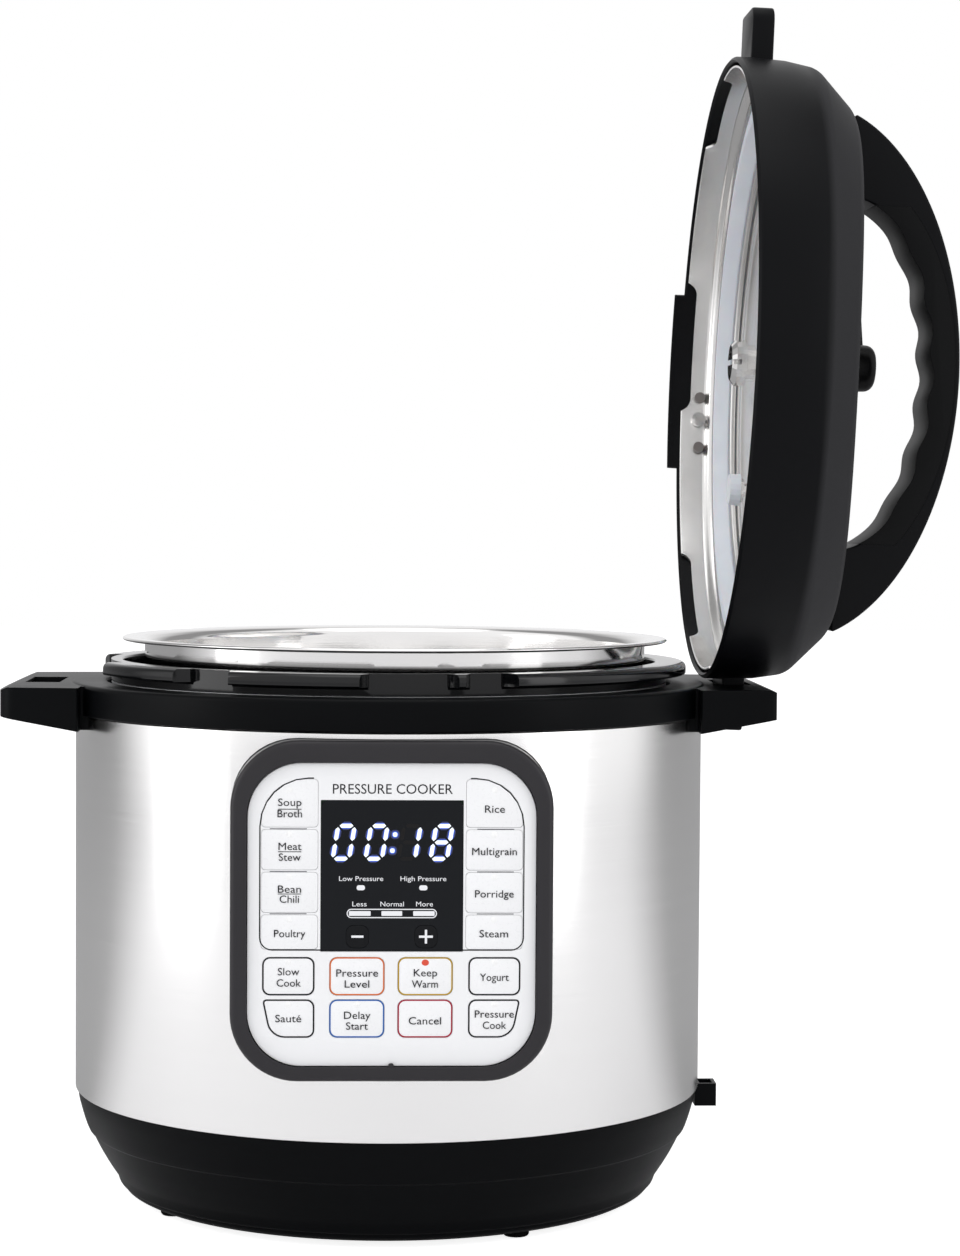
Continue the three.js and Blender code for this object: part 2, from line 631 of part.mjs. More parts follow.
const PLATE_OUT = LID_R - LID_WALL - 1.2;
const LID_NOTCHES = 6;
const NOTCH_DEEP = 4.5;
const NOTCH_HALF_DEG = 12;
const NOTCH_START = 7.5;
const LID_PLATE_T = 1.2;
const LID_FLOOR = 25.4; // the seal's channel, measured in from the lid's mouth
const LID_STEP = 2.6;

// Steel inner lid: a turned wall with notches in its edge, a step and a nearly flat roof.
function lidPlate() {
  const t = LID_PLATE_T;
  const r = PLATE_OUT;
  const roof = 27;
  const upper = r - t - LID_STEP;
  const body = turned([
    [0, roof], [CROWN_R - 12, roof], [CROWN_R - 8.6, LID_FLOOR], [upper - 1, LID_FLOOR], [upper, LID_FLOOR - 1],
    [upper, 15.2], [r - t, 13], [r - t, 1.2], [r, 1.2], [r, 13.4], [upper + t, 15.6], [upper + t, LID_FLOOR],
    [upper - 0.2, LID_FLOOR + t], [CROWN_R - 8.2, LID_FLOOR + t], [CROWN_R - 11.6, roof + t], [0, roof + t],
  ]);
  let result = solid(body);
  for (let i = 0; i < LID_NOTCHES; i += 1) {
    const half = Math.tan(rad(NOTCH_HALF_DEG)) * r;
    const flat = outline([[-half - 6, -4], [half + 6, -4], [half, NOTCH_DEEP + 1.2], [-half, NOTCH_DEEP + 1.2]]);
    const g = extruded(flat, 30);
    g.rotateX(Math.PI / 2);
    g.translate(0, r + 12, 0);
    g.rotateZ(rad(NOTCH_START + (360 / LID_NOTCHES) * i));
    result = result.subtract(solid(g));
  }
  for (const at of [VALVE_AT, FLOAT_AT]) {
    const hole = disc(at === VALVE_AT ? 6.4 : 5.2, 10, 70);
    hole.translate(at[0], at[1], 0);
    result = result.subtract(solid(hole));
  }
  return shape(result);
}

function archCurve(half, rise, base, count) {
  const points = [];
  for (let i = 0; i <= count; i += 1) {
    const t = Math.PI * (1 - i / count);
    points.push([half * Math.cos(t), base + rise * Math.sin(t)]);
  }
  return points;
}

// The arch's side view: outer ellipse above the crown, cut out for the hand.
function archOutline() {
  const outer = archCurve(ARCH_A, ARCH_B, ARCH_MID, 32).filter(([, z]) => z > ARCH_FLOOR + 5);
  const inner = archCurve(ARCH_IN_A, ARCH_IN_B, ARCH_FLOOR + 4.6, 28).reverse();
  const foot = ARCH_FLOOR + 4.6;
  return outline([[-ARCH_A * 0.955, foot], ...outer, [ARCH_A * 0.955, foot], ...inner]);
}

// The grip insert follows the inside of the arch over the middle of the span.
function gripRing(margin) {
  const outer = archCurve(ARCH_IN_A + GRIP_T + margin, ARCH_IN_B + GRIP_T + margin, ARCH_FLOOR + 4.6, 40);
  const inner = archCurve(ARCH_IN_A - margin, ARCH_IN_B - margin, ARCH_FLOOR + 4.6, 28).reverse();
  return [outer, inner];
}

function upright(points, halfWidth) {
  const g = extruded(outline(points), 2 * halfWidth);
  g.rotateX(Math.PI / 2);
  g.translate(0, halfWidth, 0);
  return g;
}

function handleGrip() {
  const [outer] = gripRing(0);
  const scallops = [];
  const count = 44;
  for (let i = 0; i <= count; i += 1) {
    const t = Math.PI * (i / count);
    const x = ARCH_IN_A * Math.cos(t);
    const wave = 1.1 * Math.cos((2 * Math.PI * x) / 22);
    scallops.push([x, ARCH_FLOOR + 4.6 + (ARCH_IN_B + wave) * Math.sin(t)]);
  }
  const ring = upright([...outer, ...scallops], ARCH_HALF_W);
  return common(ring, box([-GRIP_HALF_SPAN, -40, 60], [GRIP_HALF_SPAN, 40, 120]));
}

function lidHandle() {
  const g = extruded(archOutline(), 2 * ARCH_HALF_W);
  g.rotateX(Math.PI / 2);
  g.translate(0, ARCH_HALF_W, 0);
  const [outer, inner] = gripRing(GAP);
  const pocket = common(upright([...outer, ...inner], ARCH_HALF_W + 1),
    box([-GRIP_HALF_SPAN - GAP, -40, 60], [GRIP_HALF_SPAN + GAP, 40, 120]));
  return cut(g, pocket);
}

function sealingRing() {
  const r = LID_R - 20;
  return turnedRing([
    [r - 4.4, LID_FLOOR - 3.2], [r - 1.4, LID_FLOOR - 10.8], [r + 1, LID_FLOOR - 5.8], [r + 4.2, LID_FLOOR - 5.8],
    [r + 7.6, LID_FLOOR - 9.6], [r + 9.6, LID_FLOOR - 1.2], [r + 2, LID_FLOOR - 0.3], [r - 2.4, LID_FLOOR - 0.3],
  ], HIDDEN + 8);
}

function sealingRack() {
  const r = LID_R - 27.4;
  const low = LID_FLOOR - 3;
  return turnedRing([[r, low], [r + 2.2, low], [r + 2.2, LID_FLOOR - 0.4], [r, LID_FLOOR - 0.4]], HIDDEN);
}

function sealAt(geometry, at) {
  geometry.translate(at[0], at[1], 0);
  return geometry;
}

function lidValves() {
  const pipeTop = CROWN_H + 12;
  add(lid, "steam_pipe", sealAt(turnedRing([
    [2, 20], [8.5, 20], [8.5, 24], [5, 24], [5, 27 - GAP - 0.6], [6, 27 - GAP - 0.6], [6, CROWN_H + 6],
    [4, pipeTop], [2, pipeTop],
  ], FINE), VALVE_AT), polished);
  const knobLow = CROWN_H + 4.4;
  const knob = turned([
    [0, pipeTop + 2], [5.2, pipeTop + 2], [6.8, CROWN_H + 6], [6.8, knobLow], [9.6, knobLow], [10.6, knobLow + 1],
    [11, knobLow + 14], [10, 76], [7.4, 79], [0, 79.6],
  ], FINE);
  const lever = box([-4.2, -27, knobLow + 8.4], [4.2, 0, knobLow + 21]);
  lever.rotateZ(rad(-120));
  const hollow = turned([[0, 40], [6.8, 40], [6.8, CROWN_H + 6], [5.2, pipeTop + 2], [0, pipeTop + 2]], FINE);
  add(lid, "steam_release_knob", sealAt(cut(joined(knob, lever), hollow), VALVE_AT), black);
  add(lid, "anti_block_shield", sealAt(cut(turned([
    [0, 13], [8, 13], [10.6, 15], [10.6, 20 - GAP], [0, 20 - GAP],
  ], FINE), box([-12, -1.2, 12], [12, 1.2, 17]), box([-1.2, -12, 12], [1.2, 12, 17])), VALVE_AT), polished);
  add(lid, "float_valve", sealAt(turned([
    [0, 19.5], [5.8, 19.5], [5.8, 20.6], [3, 20.6], [3, 46], [4, 46], [4, CROWN_H + 0.2], [0, CROWN_H + 0.2],
  ], FINE), FLOAT_AT), polished);
  add(lid, "float_seal", sealAt(turned([
    [0, 14.3], [7, 14.3], [7.4, 19.2], [0, 19.2],
  ], FINE), FLOAT_AT), silicone);
}

function lockPin() {
  const g = turned([[0, -2.2], [2.6, -2.2], [3.3, -1.2], [3.3, 2.2], [0, 2.2]], 16);
  g.rotateX(Math.PI / 2);
  return g;
}

function rearFitting(name, geometry, degrees, radius, height, material) {
  geometry.translate(0, radius, height);
  geometry.rotateZ(rad(degrees));
  add(lid, name, geometry, material);
}

function buildLid() {
  add(lid, "lid_shell", lidShell(), black);
  add(lid, "lid_plate", lidPlate(), steel);
  add(lid, "lid_handle", lidHandle(), black);
  add(lid, "handle_grip", handleGrip(), black);
  add(lid, "sealing_ring", sealingRing(), silicone);
  add(lid, "sealing_rack", sealingRack(), steel);
  lidValves();
  const wall = PLATE_OUT - LID_PLATE_T;
  rearFitting("lock_pin", lockPin(), -8, wall - 2.6, 9.5, polished);
  for (const [name, degrees] of [["guard_screw_upper", -3.2], ["guard_screw_lower", -14]]) {
    const screw = turned([[0, -1], [2.6, -1], [2.6, 1], [0, 1]], 16);
    screw.rotateX(Math.PI / 2);
    rearFitting(name, screw, degrees, wall - 1.6, 10, steel);
  }
  lid.position.set(...LID_CENTRE);
  lid.rotation.order = "ZYX";
  lid.rotation.y = rad(90 + LID_TILT);
  lid.rotation.z = rad(LID_YAW);
}

// ---- assembly -----------------------------------------------------------------------------------
add(cooker, "base_housing", baseHousing(), black);
add(cooker, "steel_shell", steelShell(), steel);
add(cooker, "spoon_holder", spoonHolder(), black);
feet();
inside();
add(cooker, "power_inlet", powerInlet(), black);
add(cooker, "condensation_collector", condensationCollector(), translucent);
add(cooker, "top_ring", topRing(), black);
add(cooker, "handle_liner_right", handleLiner(), black);
add(cooker, "handle_liner_left", mirrored(handleLiner()), black);
add(cooker, "locking_ring", lockingRing(), glossBlack);
add(cooker, "outer_pot", outerPot(), aluminium);
add(cooker, "heating_plate", heatingPlate(), aluminium);
sensor();
add(cooker, "inner_pot", innerPot(), polished).position.x = POT_SHIFT;
controlPanel();
buildLid();

export default cooker;
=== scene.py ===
# %% [markdown]
# # An electric pressure cooker with its lid parked in the handle
#
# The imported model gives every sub-part its place and size. This lesson models the fine surfaces
# around it: turned shells by spinning a profile, the arched lid handle from an outline, and the
# control panel from rounded plates, printed lines and words.

# %% Load the frame and keep its box
import json
import math
import bpy
import bmesh
from mathutils import Matrix, Vector


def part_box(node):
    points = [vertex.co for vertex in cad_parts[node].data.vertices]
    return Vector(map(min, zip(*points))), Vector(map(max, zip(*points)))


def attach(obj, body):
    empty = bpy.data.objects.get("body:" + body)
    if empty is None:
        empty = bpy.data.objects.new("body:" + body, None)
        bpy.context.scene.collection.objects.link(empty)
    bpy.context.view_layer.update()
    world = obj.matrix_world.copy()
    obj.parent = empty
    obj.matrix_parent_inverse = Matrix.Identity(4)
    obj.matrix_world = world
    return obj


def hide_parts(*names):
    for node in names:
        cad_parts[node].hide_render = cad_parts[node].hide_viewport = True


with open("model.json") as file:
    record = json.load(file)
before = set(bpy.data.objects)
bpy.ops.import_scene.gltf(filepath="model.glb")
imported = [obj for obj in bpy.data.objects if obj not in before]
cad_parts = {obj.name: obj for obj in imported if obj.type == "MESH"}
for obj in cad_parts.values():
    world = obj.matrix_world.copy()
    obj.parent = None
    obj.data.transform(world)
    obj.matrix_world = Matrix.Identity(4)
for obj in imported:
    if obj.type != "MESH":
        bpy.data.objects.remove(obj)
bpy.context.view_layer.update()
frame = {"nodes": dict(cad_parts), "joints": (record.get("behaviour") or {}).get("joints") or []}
nodes = frame["nodes"]
joints = {joint["name"]: joint for joint in frame["joints"]}
print(len(nodes), "sub-parts in the frame")

# %% [markdown]
# ## Working units
#
# The frame is in metres, but a kitchen appliance is drawn in millimetres. Each piece is built in
# millimetres and scaled once, when its mesh is finished. Sizes are read from the frame's boxes
# wherever a neighbour or the sub-part itself fixes them.

# %% Millimetres and boxes
MM = 0.001
TURN = 2 * math.pi
QUARTER = TURN / 4
LARGE_STEPS = 192  # facets round the body, the pot and the lid
SMALL_STEPS = 48  # facets round pins, feet and screws
ROUND_STEPS = 6  # facets in a rounded corner
SHARP = math.radians(32)


def low(node):
    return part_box(node)[0] / MM


def high(node):
    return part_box(node)[1] / MM


def radius_of(node):
    return (high(node).y - low(node).y) / 2


shell_r = radius_of("steel_shell")
shell_low = low("steel_shell").z
shell_high = high("steel_shell").z
print(f"steel shell: radius {shell_r:.1f} mm, {shell_high - shell_low:.1f} mm high")

# %% [markdown]
# ## Camera
#
# The view is level with the pot's rim and almost square to the panel. A long lens from about a
# metre and a third keeps the upright lid nearly edge-on while its inside still shows.

# %% Camera
camera = bpy.data.objects.new("camera", bpy.data.cameras.new("camera"))
bpy.context.scene.collection.objects.link(camera)
camera.data.lens = 86.0
camera.data.sensor_width = 36.0
camera.data.clip_end = 20.0
camera_yaw = math.radians(-2.27)
camera_pitch = math.radians(90 - 2.35)
camera_roll = math.radians(0.37)
camera_place = Matrix.Translation((-0.0127, -1.3255, 0.300))
camera_turn = Matrix.Rotation(camera_yaw, 4, "Z") @ Matrix.Rotation(camera_pitch, 4, "X")
camera.matrix_world = camera_place @ camera_turn @ Matrix.Rotation(camera_roll, 4, "Z")
bpy.context.scene.camera = camera

# %% [markdown]
# ## Shader maths
#
# A small class wraps a socket and overloads the arithmetic operators, so a pattern reads as a
# formula. `Shader` makes any other node, and `Finish` adds what a material needs.

# %% Shader helpers
class Value:
    """What a node gives, as a socket. Arithmetic on it adds nodes to its tree."""

    def __init__(self, shader, socket):
        self.shader = shader
        self.socket = socket

    def _math(self, operation, a, b):
        return self.shader.node("ShaderNodeMath", {"operation": operation}, {0: a, 1: b})

    def __add__(self, other):
        return self._math("ADD", self, other)

    def __radd__(self, other):
        return self._math("ADD", other, self)

    def __sub__(self, other):
        return self._math("SUBTRACT", self, other)

    def __mul__(self, other):
        return self._math("MULTIPLY", self, other)

    def __gt__(self, other):
        return self._math("GREATER_THAN", self, other)


class Shader:
    """A node tree that makes a node from its type, settings and inputs."""

    def __init__(self, tree):
        self.tree = tree

    def node(self, kind, settings=None, inputs=None, output=0):
        made = self.tree.nodes.new(kind)
        for key, value in (settings or {}).items():
            setattr(made, key, value)
        for key, value in (inputs or {}).items():
            self.feed(made.inputs[key], value)
        return Value(self, made.outputs[output])

    def feed(self, socket, value):
        if isinstance(value, Value):
            self.tree.links.new(value.socket, socket)
        elif isinstance(value, tuple) and len(value) == 3 and socket.type == "RGBA":
            socket.default_value = (*value, 1.0)
        else:
            socket.default_value = value


class Finish(Shader):
    """A material: a Principled surface whose inputs are set by name."""

    def __init__(self, name):
        self.material = bpy.data.materials.new(name)
        self.material.use_nodes = True
        super().__init__(self.material.node_tree)
        self.surface = self.tree.nodes["Principled BSDF"]

    def place(self, scale=(1, 1, 1)):
        """Object coordinates, in metres, stretched by scale."""
        here = self.node("ShaderNodeTexCoord", output=3)
        return self.node("ShaderNodeMapping", {}, {0: here, 3: scale})

    def noise(self, where, scale, detail=3.0, rough=0.5):
        inputs = {"Vector": where, "Scale": scale, "Detail": detail, "Roughness": rough}
        return self.node("ShaderNodeTexNoise", {}, inputs)

    def blend(self, share, first, second):
        inputs = {0: share, 6: first, 7: second}
        return self.node("ShaderNodeMix", {"data_type": "RGBA"}, inputs, output=2)

    def bump(self, height, strength, distance):
        inputs = {"Strength": strength, "Distance": distance, "Height": height}
        return self.node("ShaderNodeBump", {}, inputs)

    def set(self, **inputs):
        for key, value in inputs.items():
            self.feed(self.surface.inputs[key.replace("_", " ")], value)
        return self.material


# %% [markdown]
# ## Moulded plastic
#
# The housing, handles and lid are satin black polypropylene. A fine spark-eroded grain breaks up
# the highlight, and broad soft noise varies the sheen slightly, as handling does.

# %% Black plastics
def shaded(color, share):
    """A colour made darker or lighter, never past full."""
    return tuple(min(1, share * c) for c in color)


def moulded(name, color, roughness, shine, grain=0.25, swing=0.05):
    """shine is the surface's reflection level, the same all over."""
    finish = Finish(name)
    where = finish.place()
    texture = finish.noise(where, 2600.0, 2.0)
    cloud = finish.noise(where, 28.0, 3.0)
    tint = finish.blend(cloud, shaded(color, 0.85), shaded(color, 1.18))
    rough = roughness + (cloud - 0.5) * (2 * swing) + (texture - 0.5) * 0.05
    return finish.set(
        Base_Color=tint, Roughness=rough, Specular_IOR_Level=shine,
        Normal=finish.bump(texture, grain, 0.00006)
    )


satin_black = moulded("satin_black", (0.0022, 0.0025, 0.0030), 0.36, 0.06)
arch_black = moulded("arch_black", (0.0032, 0.0034, 0.0042), 0.38, 0.10)
grip_black = moulded("grip_black", (0.0034, 0.0036, 0.0040), 0.44, 0.10, 0.4)
valve_black = moulded("valve_black", (0.0040, 0.0040, 0.0044), 0.30, 0.12)
bezel_grey = moulded("bezel_grey", (0.022, 0.0205, 0.0235), 0.34, 0.30)
lock_black = moulded("lock_black", (0.0020, 0.0022, 0.0028), 0.10, 0.40, 0.04, 0.03)
foot_rubber = moulded("foot_rubber", (0.005, 0.005, 0.005), 0.85, 0.05, 0.5)
print("black plastics ready")

# %% [markdown]
# ## Metals
#
# The shell is brushed round the body: fine streaks follow the circumference, so the noise is
# stretched flat along Z. The pot is polished, with fainter turning marks. The inner lid is a
# pressed sheet with a softer satin.

# %% Metals
def brushed(name, color, roughness, stretch, streak=0.16, depth=0.25, shade=0.07):
    finish = Finish(name)
    fine = finish.noise(finish.place(stretch), 1.0, 4.0, 0.6)
    wide = finish.noise(finish.place(tuple(s / 9 for s in stretch)), 1.0, 3.0)
    mix = fine * 0.65 + wide * 0.35
    tone = finish.blend(mix, shaded(color, 1 - shade), shaded(color, 1 + shade))
    rough = roughness + (mix - 0.5) * (2 * streak)
    return finish.set(
        Base_Color=tone, Metallic=1.0, Roughness=rough,
        Normal=finish.bump(fine, depth, 0.00005)
    )


shell_steel = brushed("shell_steel", (0.92, 0.913, 0.905), 0.22, (14, 14, 5200), 0.10, 0.16, 0.05)
pot_steel = brushed("pot_steel", (0.88, 0.87, 0.86), 0.09, (10, 10, 2600), 0.04, 0.10, 0.04)
lid_steel = brushed("lid_steel", (0.80, 0.79, 0.775), 0.24, (260, 260, 260), 0.07, 0.14, 0.05)
dark_steel = brushed("dark_steel", (0.24, 0.22, 0.21), 0.34, (900, 900, 900), 0.08, 0.2)
plain_steel = brushed("plain_steel", (0.66, 0.65, 0.64), 0.32, (900, 900, 900), 0.08, 0.2)
cast_aluminium = brushed("cast_aluminium", (0.60, 0.61, 0.62), 0.48, (700, 700, 700), 0.10, 0.4)
print("metals ready")

# %% [markdown]
# ## Films, glass, silicone and boards
#
# The panel face is a printed film with a very slight orange-peel. The display is a dark window
# over lit digits. The seal is a milky silicone that lets some light in.

# %% Other finishes
def film(name, color, roughness=0.34, shine=0.4):
    finish = Finish(name)
    where = finish.place()
    peel = finish.noise(where, 900.0, 2.0)
    tone = finish.blend(finish.noise(where, 60.0), shaded(color, 0.985), color)
    return finish.set(
        Base_Color=tone, Roughness=roughness + (peel - 0.5) * 0.06, Specular_IOR_Level=shine,
        Normal=finish.bump(peel, 0.06, 0.00005)
    )


def ink(name, color, roughness=0.45):
    finish = Finish(name)
    speckle = finish.noise(finish.place(), 1800.0, 2.0)
    tone = finish.blend(speckle, shaded(color, 0.9), color)
    rough = roughness + (speckle - 0.5) * 0.08
    return finish.set(Base_Color=tone, Roughness=rough, Specular_IOR_Level=0.12)


def lit(name, color, strength):
    finish = Finish(name)
    glow = finish.noise(finish.place(), 300.0, 1.0)
    tone = finish.blend(glow, shaded(color, 0.93), color)
    return finish.set(
        Base_Color=(0.02, 0.02, 0.03), Roughness=0.3, Emission_Color=tone,
        Emission_Strength=strength
    )


fascia_silver = film("fascia_silver", (0.93, 0.935, 0.945), 0.36)
key_film = film("key_film", (0.95, 0.955, 0.965), 0.28)
lens_film = film("lens_film", (1.0, 1.0, 1.0), 0.16)
window_dark = film("window_dark", (0.0075, 0.0085, 0.0105), 0.14, 0.14)
key_dark = film("key_dark", (0.0055, 0.006, 0.0075), 0.18, 0.14)
print_black = ink("print_black", (0.006, 0.006, 0.009))
print_grey = ink("print_grey", (0.10, 0.10, 0.115))
print_blue = ink("print_blue", (0.030, 0.13, 0.44))
print_crimson = ink("print_crimson", (0.40, 0.014, 0.045))
print_orange = ink("print_orange", (0.72, 0.17, 0.045))
print_yellow = ink("print_yellow", (0.50, 0.31, 0.025))
# White print that emits light: a painted glow on the window's words, frame and signs. Only the window's
# lamp bars are real lamps.
print_white = lit("print_white", (0.90, 0.91, 0.94), 0.95)
digit_halo = lit("digit_halo", (0.006, 0.020, 0.16), 0.6)
digit_glow = lit("digit_glow", (0.035, 0.14, 0.85), 1.0)
digit_core = lit("digit_core", (0.86, 0.93, 1.0), 1.4)
digit_off = ink("digit_off", (0.013, 0.0125, 0.013), 0.3)
led_red = lit("led_red", (0.78, 0.060, 0.008), 0.9)


def silicone_finish():
    finish = Finish("milky_silicone")
    cloud = finish.noise(finish.place(), 70.0, 3.0)
    tone = finish.blend(cloud, (0.66, 0.70, 0.76), (0.78, 0.81, 0.86))
    return finish.set(
        Base_Color=tone, Roughness=0.32 + (cloud - 0.5) * 0.1,
        Subsurface_Weight=0.25, Subsurface_Scale=0.002
    )


def board_finish():
    finish = Finish("circuit_board")
    tracks = finish.noise(finish.place((400, 400, 400)), 1.0, 1.0)
    tone = finish.blend(tracks > 0.55, (0.012, 0.09, 0.035), (0.03, 0.17, 0.07))
    return finish.set(Base_Color=tone, Roughness=0.35 + tracks * 0.2)


def frosted_finish():
    finish = Finish("frosted_cup")
    cloud = finish.noise(finish.place(), 500.0, 2.0)
    tone = finish.blend(cloud, (0.72, 0.76, 0.78), (0.82, 0.85, 0.86))
    return finish.set(Base_Color=tone, Roughness=0.35 + cloud * 0.12, Transmission_Weight=0.55)


milky_silicone = silicone_finish()
circuit_board = board_finish()
frosted_cup = frosted_finish()
print("films, silicone and boards ready")

# %% [markdown]
# ## Modelling helpers
#
# Most pieces start as a wire outline. A corner is rounded by a vertex bevel, the wire is spun or
# extruded, and boolean cuts open slots and holes. `finish_piece` scales the mesh to metres,
# smooths it up to a sharp angle and lets it ride its body.

# %% Outlines, spins and cuts
def wire(points, rounds=(), closed=True, plane="XZ"):
    """A wire through points. rounds gives (corner number, radius) pairs, rounded last to first."""
    bm = bmesh.new()
    verts = [bm.verts.new((a, 0, b) if plane == "XZ" else (a, b, 0)) for a, b in points]
    for first, second in zip(verts, verts[1:]):
        bm.edges.new((first, second))
    if closed:
        bm.edges.new((verts[-1], verts[0]))
    for corner, radius in sorted(rounds, reverse=True):
        bmesh.ops.bevel(
            bm, geom=[verts[corner]], offset=radius, offset_type="OFFSET",
            segments=ROUND_STEPS, profile=0.5, affect="VERTICES", material=-1
        )
    return bm


def spun(points, rounds=(), steps=LARGE_STEPS, angle=TURN, start=0.0):
    """Spins an outline about Z. An outline that ends on the axis stays open there."""
    on_axis = abs(points[0][0]) < 1e-6 and abs(points[-1][0]) < 1e-6
    bm = wire(points, rounds, closed=not on_axis)
    full = abs(angle - TURN) < 1e-6
    if start:
        bmesh.ops.rotate(bm, verts=bm.verts[:], cent=(0, 0, 0), matrix=Matrix.Rotation(start, 3, "Z"))
    if not full:
        bmesh.ops.contextual_create(bm, geom=bm.edges[:])
    bmesh.ops.spin(
        bm, geom=bm.verts[:] + bm.edges[:] + bm.faces[:], cent=(0, 0, 0), axis=(0, 0, 1),
        angle=angle, steps=steps, use_merge=full, use_duplicate=False
    )
    bmesh.ops.remove_doubles(bm, verts=bm.verts[:], dist=1e-4)
    bmesh.ops.recalc_face_normals(bm, faces=bm.faces[:])
    return bm


def filled(bm, start, step, border=0.0):
    """Fills a wire, or only a border inside it, moves it to its start and extrudes it by a step."""
    face = bmesh.ops.contextual_create(bm, geom=bm.edges[:])["faces"]
    bmesh.ops.translate(bm, verts=bm.verts[:], vec=start)
    if border:
        bmesh.ops.inset_region(
            bm, faces=face, thickness=border, use_even_offset=True, use_boundary=True
        )
        bmesh.ops.delete(bm, geom=face, context="FACES")
    grown = bmesh.ops.extrude_face_region(bm, geom=bm.faces[:])
    far = [item for item in grown["geom"] if isinstance(item, bmesh.types.BMVert)]
    bmesh.ops.translate(bm, verts=far, vec=step)
    bmesh.ops.recalc_face_normals(bm, faces=bm.faces[:])
    return bm


def slab(points, rounds, depth, base=0.0):
    """A closed outline lying flat at a height, extruded upward by depth."""
    return filled(wire(points, rounds, plane="XY"), (0, 0, base), (0, 0, depth))


def sheet(points, rounds, front, back):
    """An upright plate with any outline and its own radius at each corner."""
    return filled(wire(points, rounds), (0, front, 0), (0, back - front, 0))


def corners(left, right, foot, top):
    """A rectangle's four corners, anticlockwise from the left foot."""
    return [(left, foot), (right, foot), (right, top), (left, top)]


def even(radius):
    """The same radius at all four corners of an outline."""
    return [(corner, radius) for corner in range(4)]


def block(low_corner, high_corner):
    bm = bmesh.new()
    bmesh.ops.create_cube(bm, size=1.0)
    span = Vector(high_corner) - Vector(low_corner)
    bmesh.ops.scale(bm, verts=bm.verts[:], vec=span)
    bmesh.ops.translate(bm, verts=bm.verts[:], vec=(Vector(low_corner) + Vector(high_corner)) / 2)
    return bm


def moved(bm, offset=(0, 0, 0), turn=0.0, axis="Z"):
    """Turns about an axis, then shifts."""
    bmesh.ops.rotate(bm, verts=bm.verts[:], cent=(0, 0, 0), matrix=Matrix.Rotation(turn, 3, axis))
    bmesh.ops.translate(bm, verts=bm.verts[:], vec=offset)
    return bm


def soften(bm, width, segments=3, limit=SHARP):
    """Bevels every edge that is sharper than the limit."""
    hard = [edge for edge in bm.edges if edge.is_manifold and edge.calc_face_angle(0) > limit]
    bmesh.ops.bevel(
        bm, geom=hard, offset=width, offset_type="OFFSET", segments=segments,
        profile=0.5, affect="EDGES", material=-1, clamp_overlap=True
    )
    return bm


def together(*parts):
    """One bmesh that holds several."""
    whole = bmesh.new()
    for part in parts:
        mesh = bpy.data.meshes.new("part")
        part.to_mesh(mesh)
        part.free()
        whole.from_mesh(mesh)
        bpy.data.meshes.remove(mesh)
    return whole


def as_object(bm, name="scratch"):
    mesh = bpy.data.meshes.new(name)
    bm.to_mesh(mesh)
    bm.free()
    made = bpy.data.objects.new(name, mesh)
    bpy.context.scene.collection.objects.link(made)
    return made


def boolean(first, second, operation):
    """A new bmesh: first cut by, joined with or kept inside second."""
    body = as_object(first)
    tool = as_object(second)
    modifier = body.modifiers.new("boolean", "BOOLEAN")
    modifier.object = tool
    modifier.operation = operation
    modifier.solver = "EXACT"
    bpy.context.view_layer.update()
    result = bmesh.new()
    result.from_object(body, bpy.context.evaluated_depsgraph_get())
    bpy.data.objects.remove(body)
    bpy.data.objects.remove(tool)
    bmesh.ops.remove_doubles(result, verts=result.verts[:], dist=1e-4)
    bmesh.ops.dissolve_degenerate(result, dist=1e-4, edges=result.edges[:])
    return result


def cut(first, second):
    return boolean(first, second, "DIFFERENCE")


def joined(first, second):
    return boolean(first, second, "UNION")


def finish_piece(name, bm, material, body, stands_for=(), place=None, sharp=SHARP):
    """Turns a bmesh in millimetres into a finished piece at the origin, in metres."""
    if place is not None:
        bmesh.ops.transform(bm, matrix=place, verts=bm.verts[:])
    bmesh.ops.scale(bm, verts=bm.verts[:], vec=(MM, MM, MM))
    for face in bm.faces:
        face.smooth = True
    for edge in bm.edges:
        edge.smooth = edge.is_manifold and edge.calc_face_angle(0) < sharp
    piece = as_object(bm, name)
    piece.data.materials.clear()
    piece.data.materials.append(material)
    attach(piece, body)
    if stands_for:
        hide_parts(*stands_for)
    print(f"{name}: {len(piece.data.polygons)} faces")
    return piece


# %% [markdown]
# ## Base housing
#
# The base is one black moulding. Below the shell it tucks in twice: a short upper band, a fine
# step, then a long convex curve down to a rounded foot edge. The profile is spun about Z.

# %% Base housing
base_top = high("base_housing").z
inlet_low = low("power_inlet")
inlet_high = high("power_inlet")
plate_r = radius_of("bottom_plate")


def base_housing():
    profile = [
        (plate_r + 0.35, 0), (113.4, 0), (116.4, 1.6), (116.9, 3.2), (118.3, 3.9), (119.4, 7.2),
        (122.4, 11.6), (125.6, 16.8), (128.4, 22), (130.6, 26.6), (131.7, 27.2), (132.6, 29.2),
        (134.6, 35), (135.9, 40.4), (136.5, base_top), (133, base_top), (126.5, 27), (113, 3),
        (plate_r - 2.6, 3), (plate_r - 2.6, 1.9), (plate_r + 0.35, 1.9),
    ]
    rounds = [(2, 1.0), (4, 0.6), (6, 3), (7, 4), (8, 4), (9, 0.5), (10, 0.35), (12, 4), (14, 0.4)]
    body = spun(profile, rounds)
    gap = Vector((0.35, 20, 0.35))
    return cut(body, block(inlet_low - gap, inlet_high + gap))


finish_piece("base_shell", base_housing(), satin_black, "base", ["base_housing"])

# %% [markdown]
# ## Steel shell
#
# A rolled sheet sleeve with a hemmed edge top and bottom, opened where the panel passes.

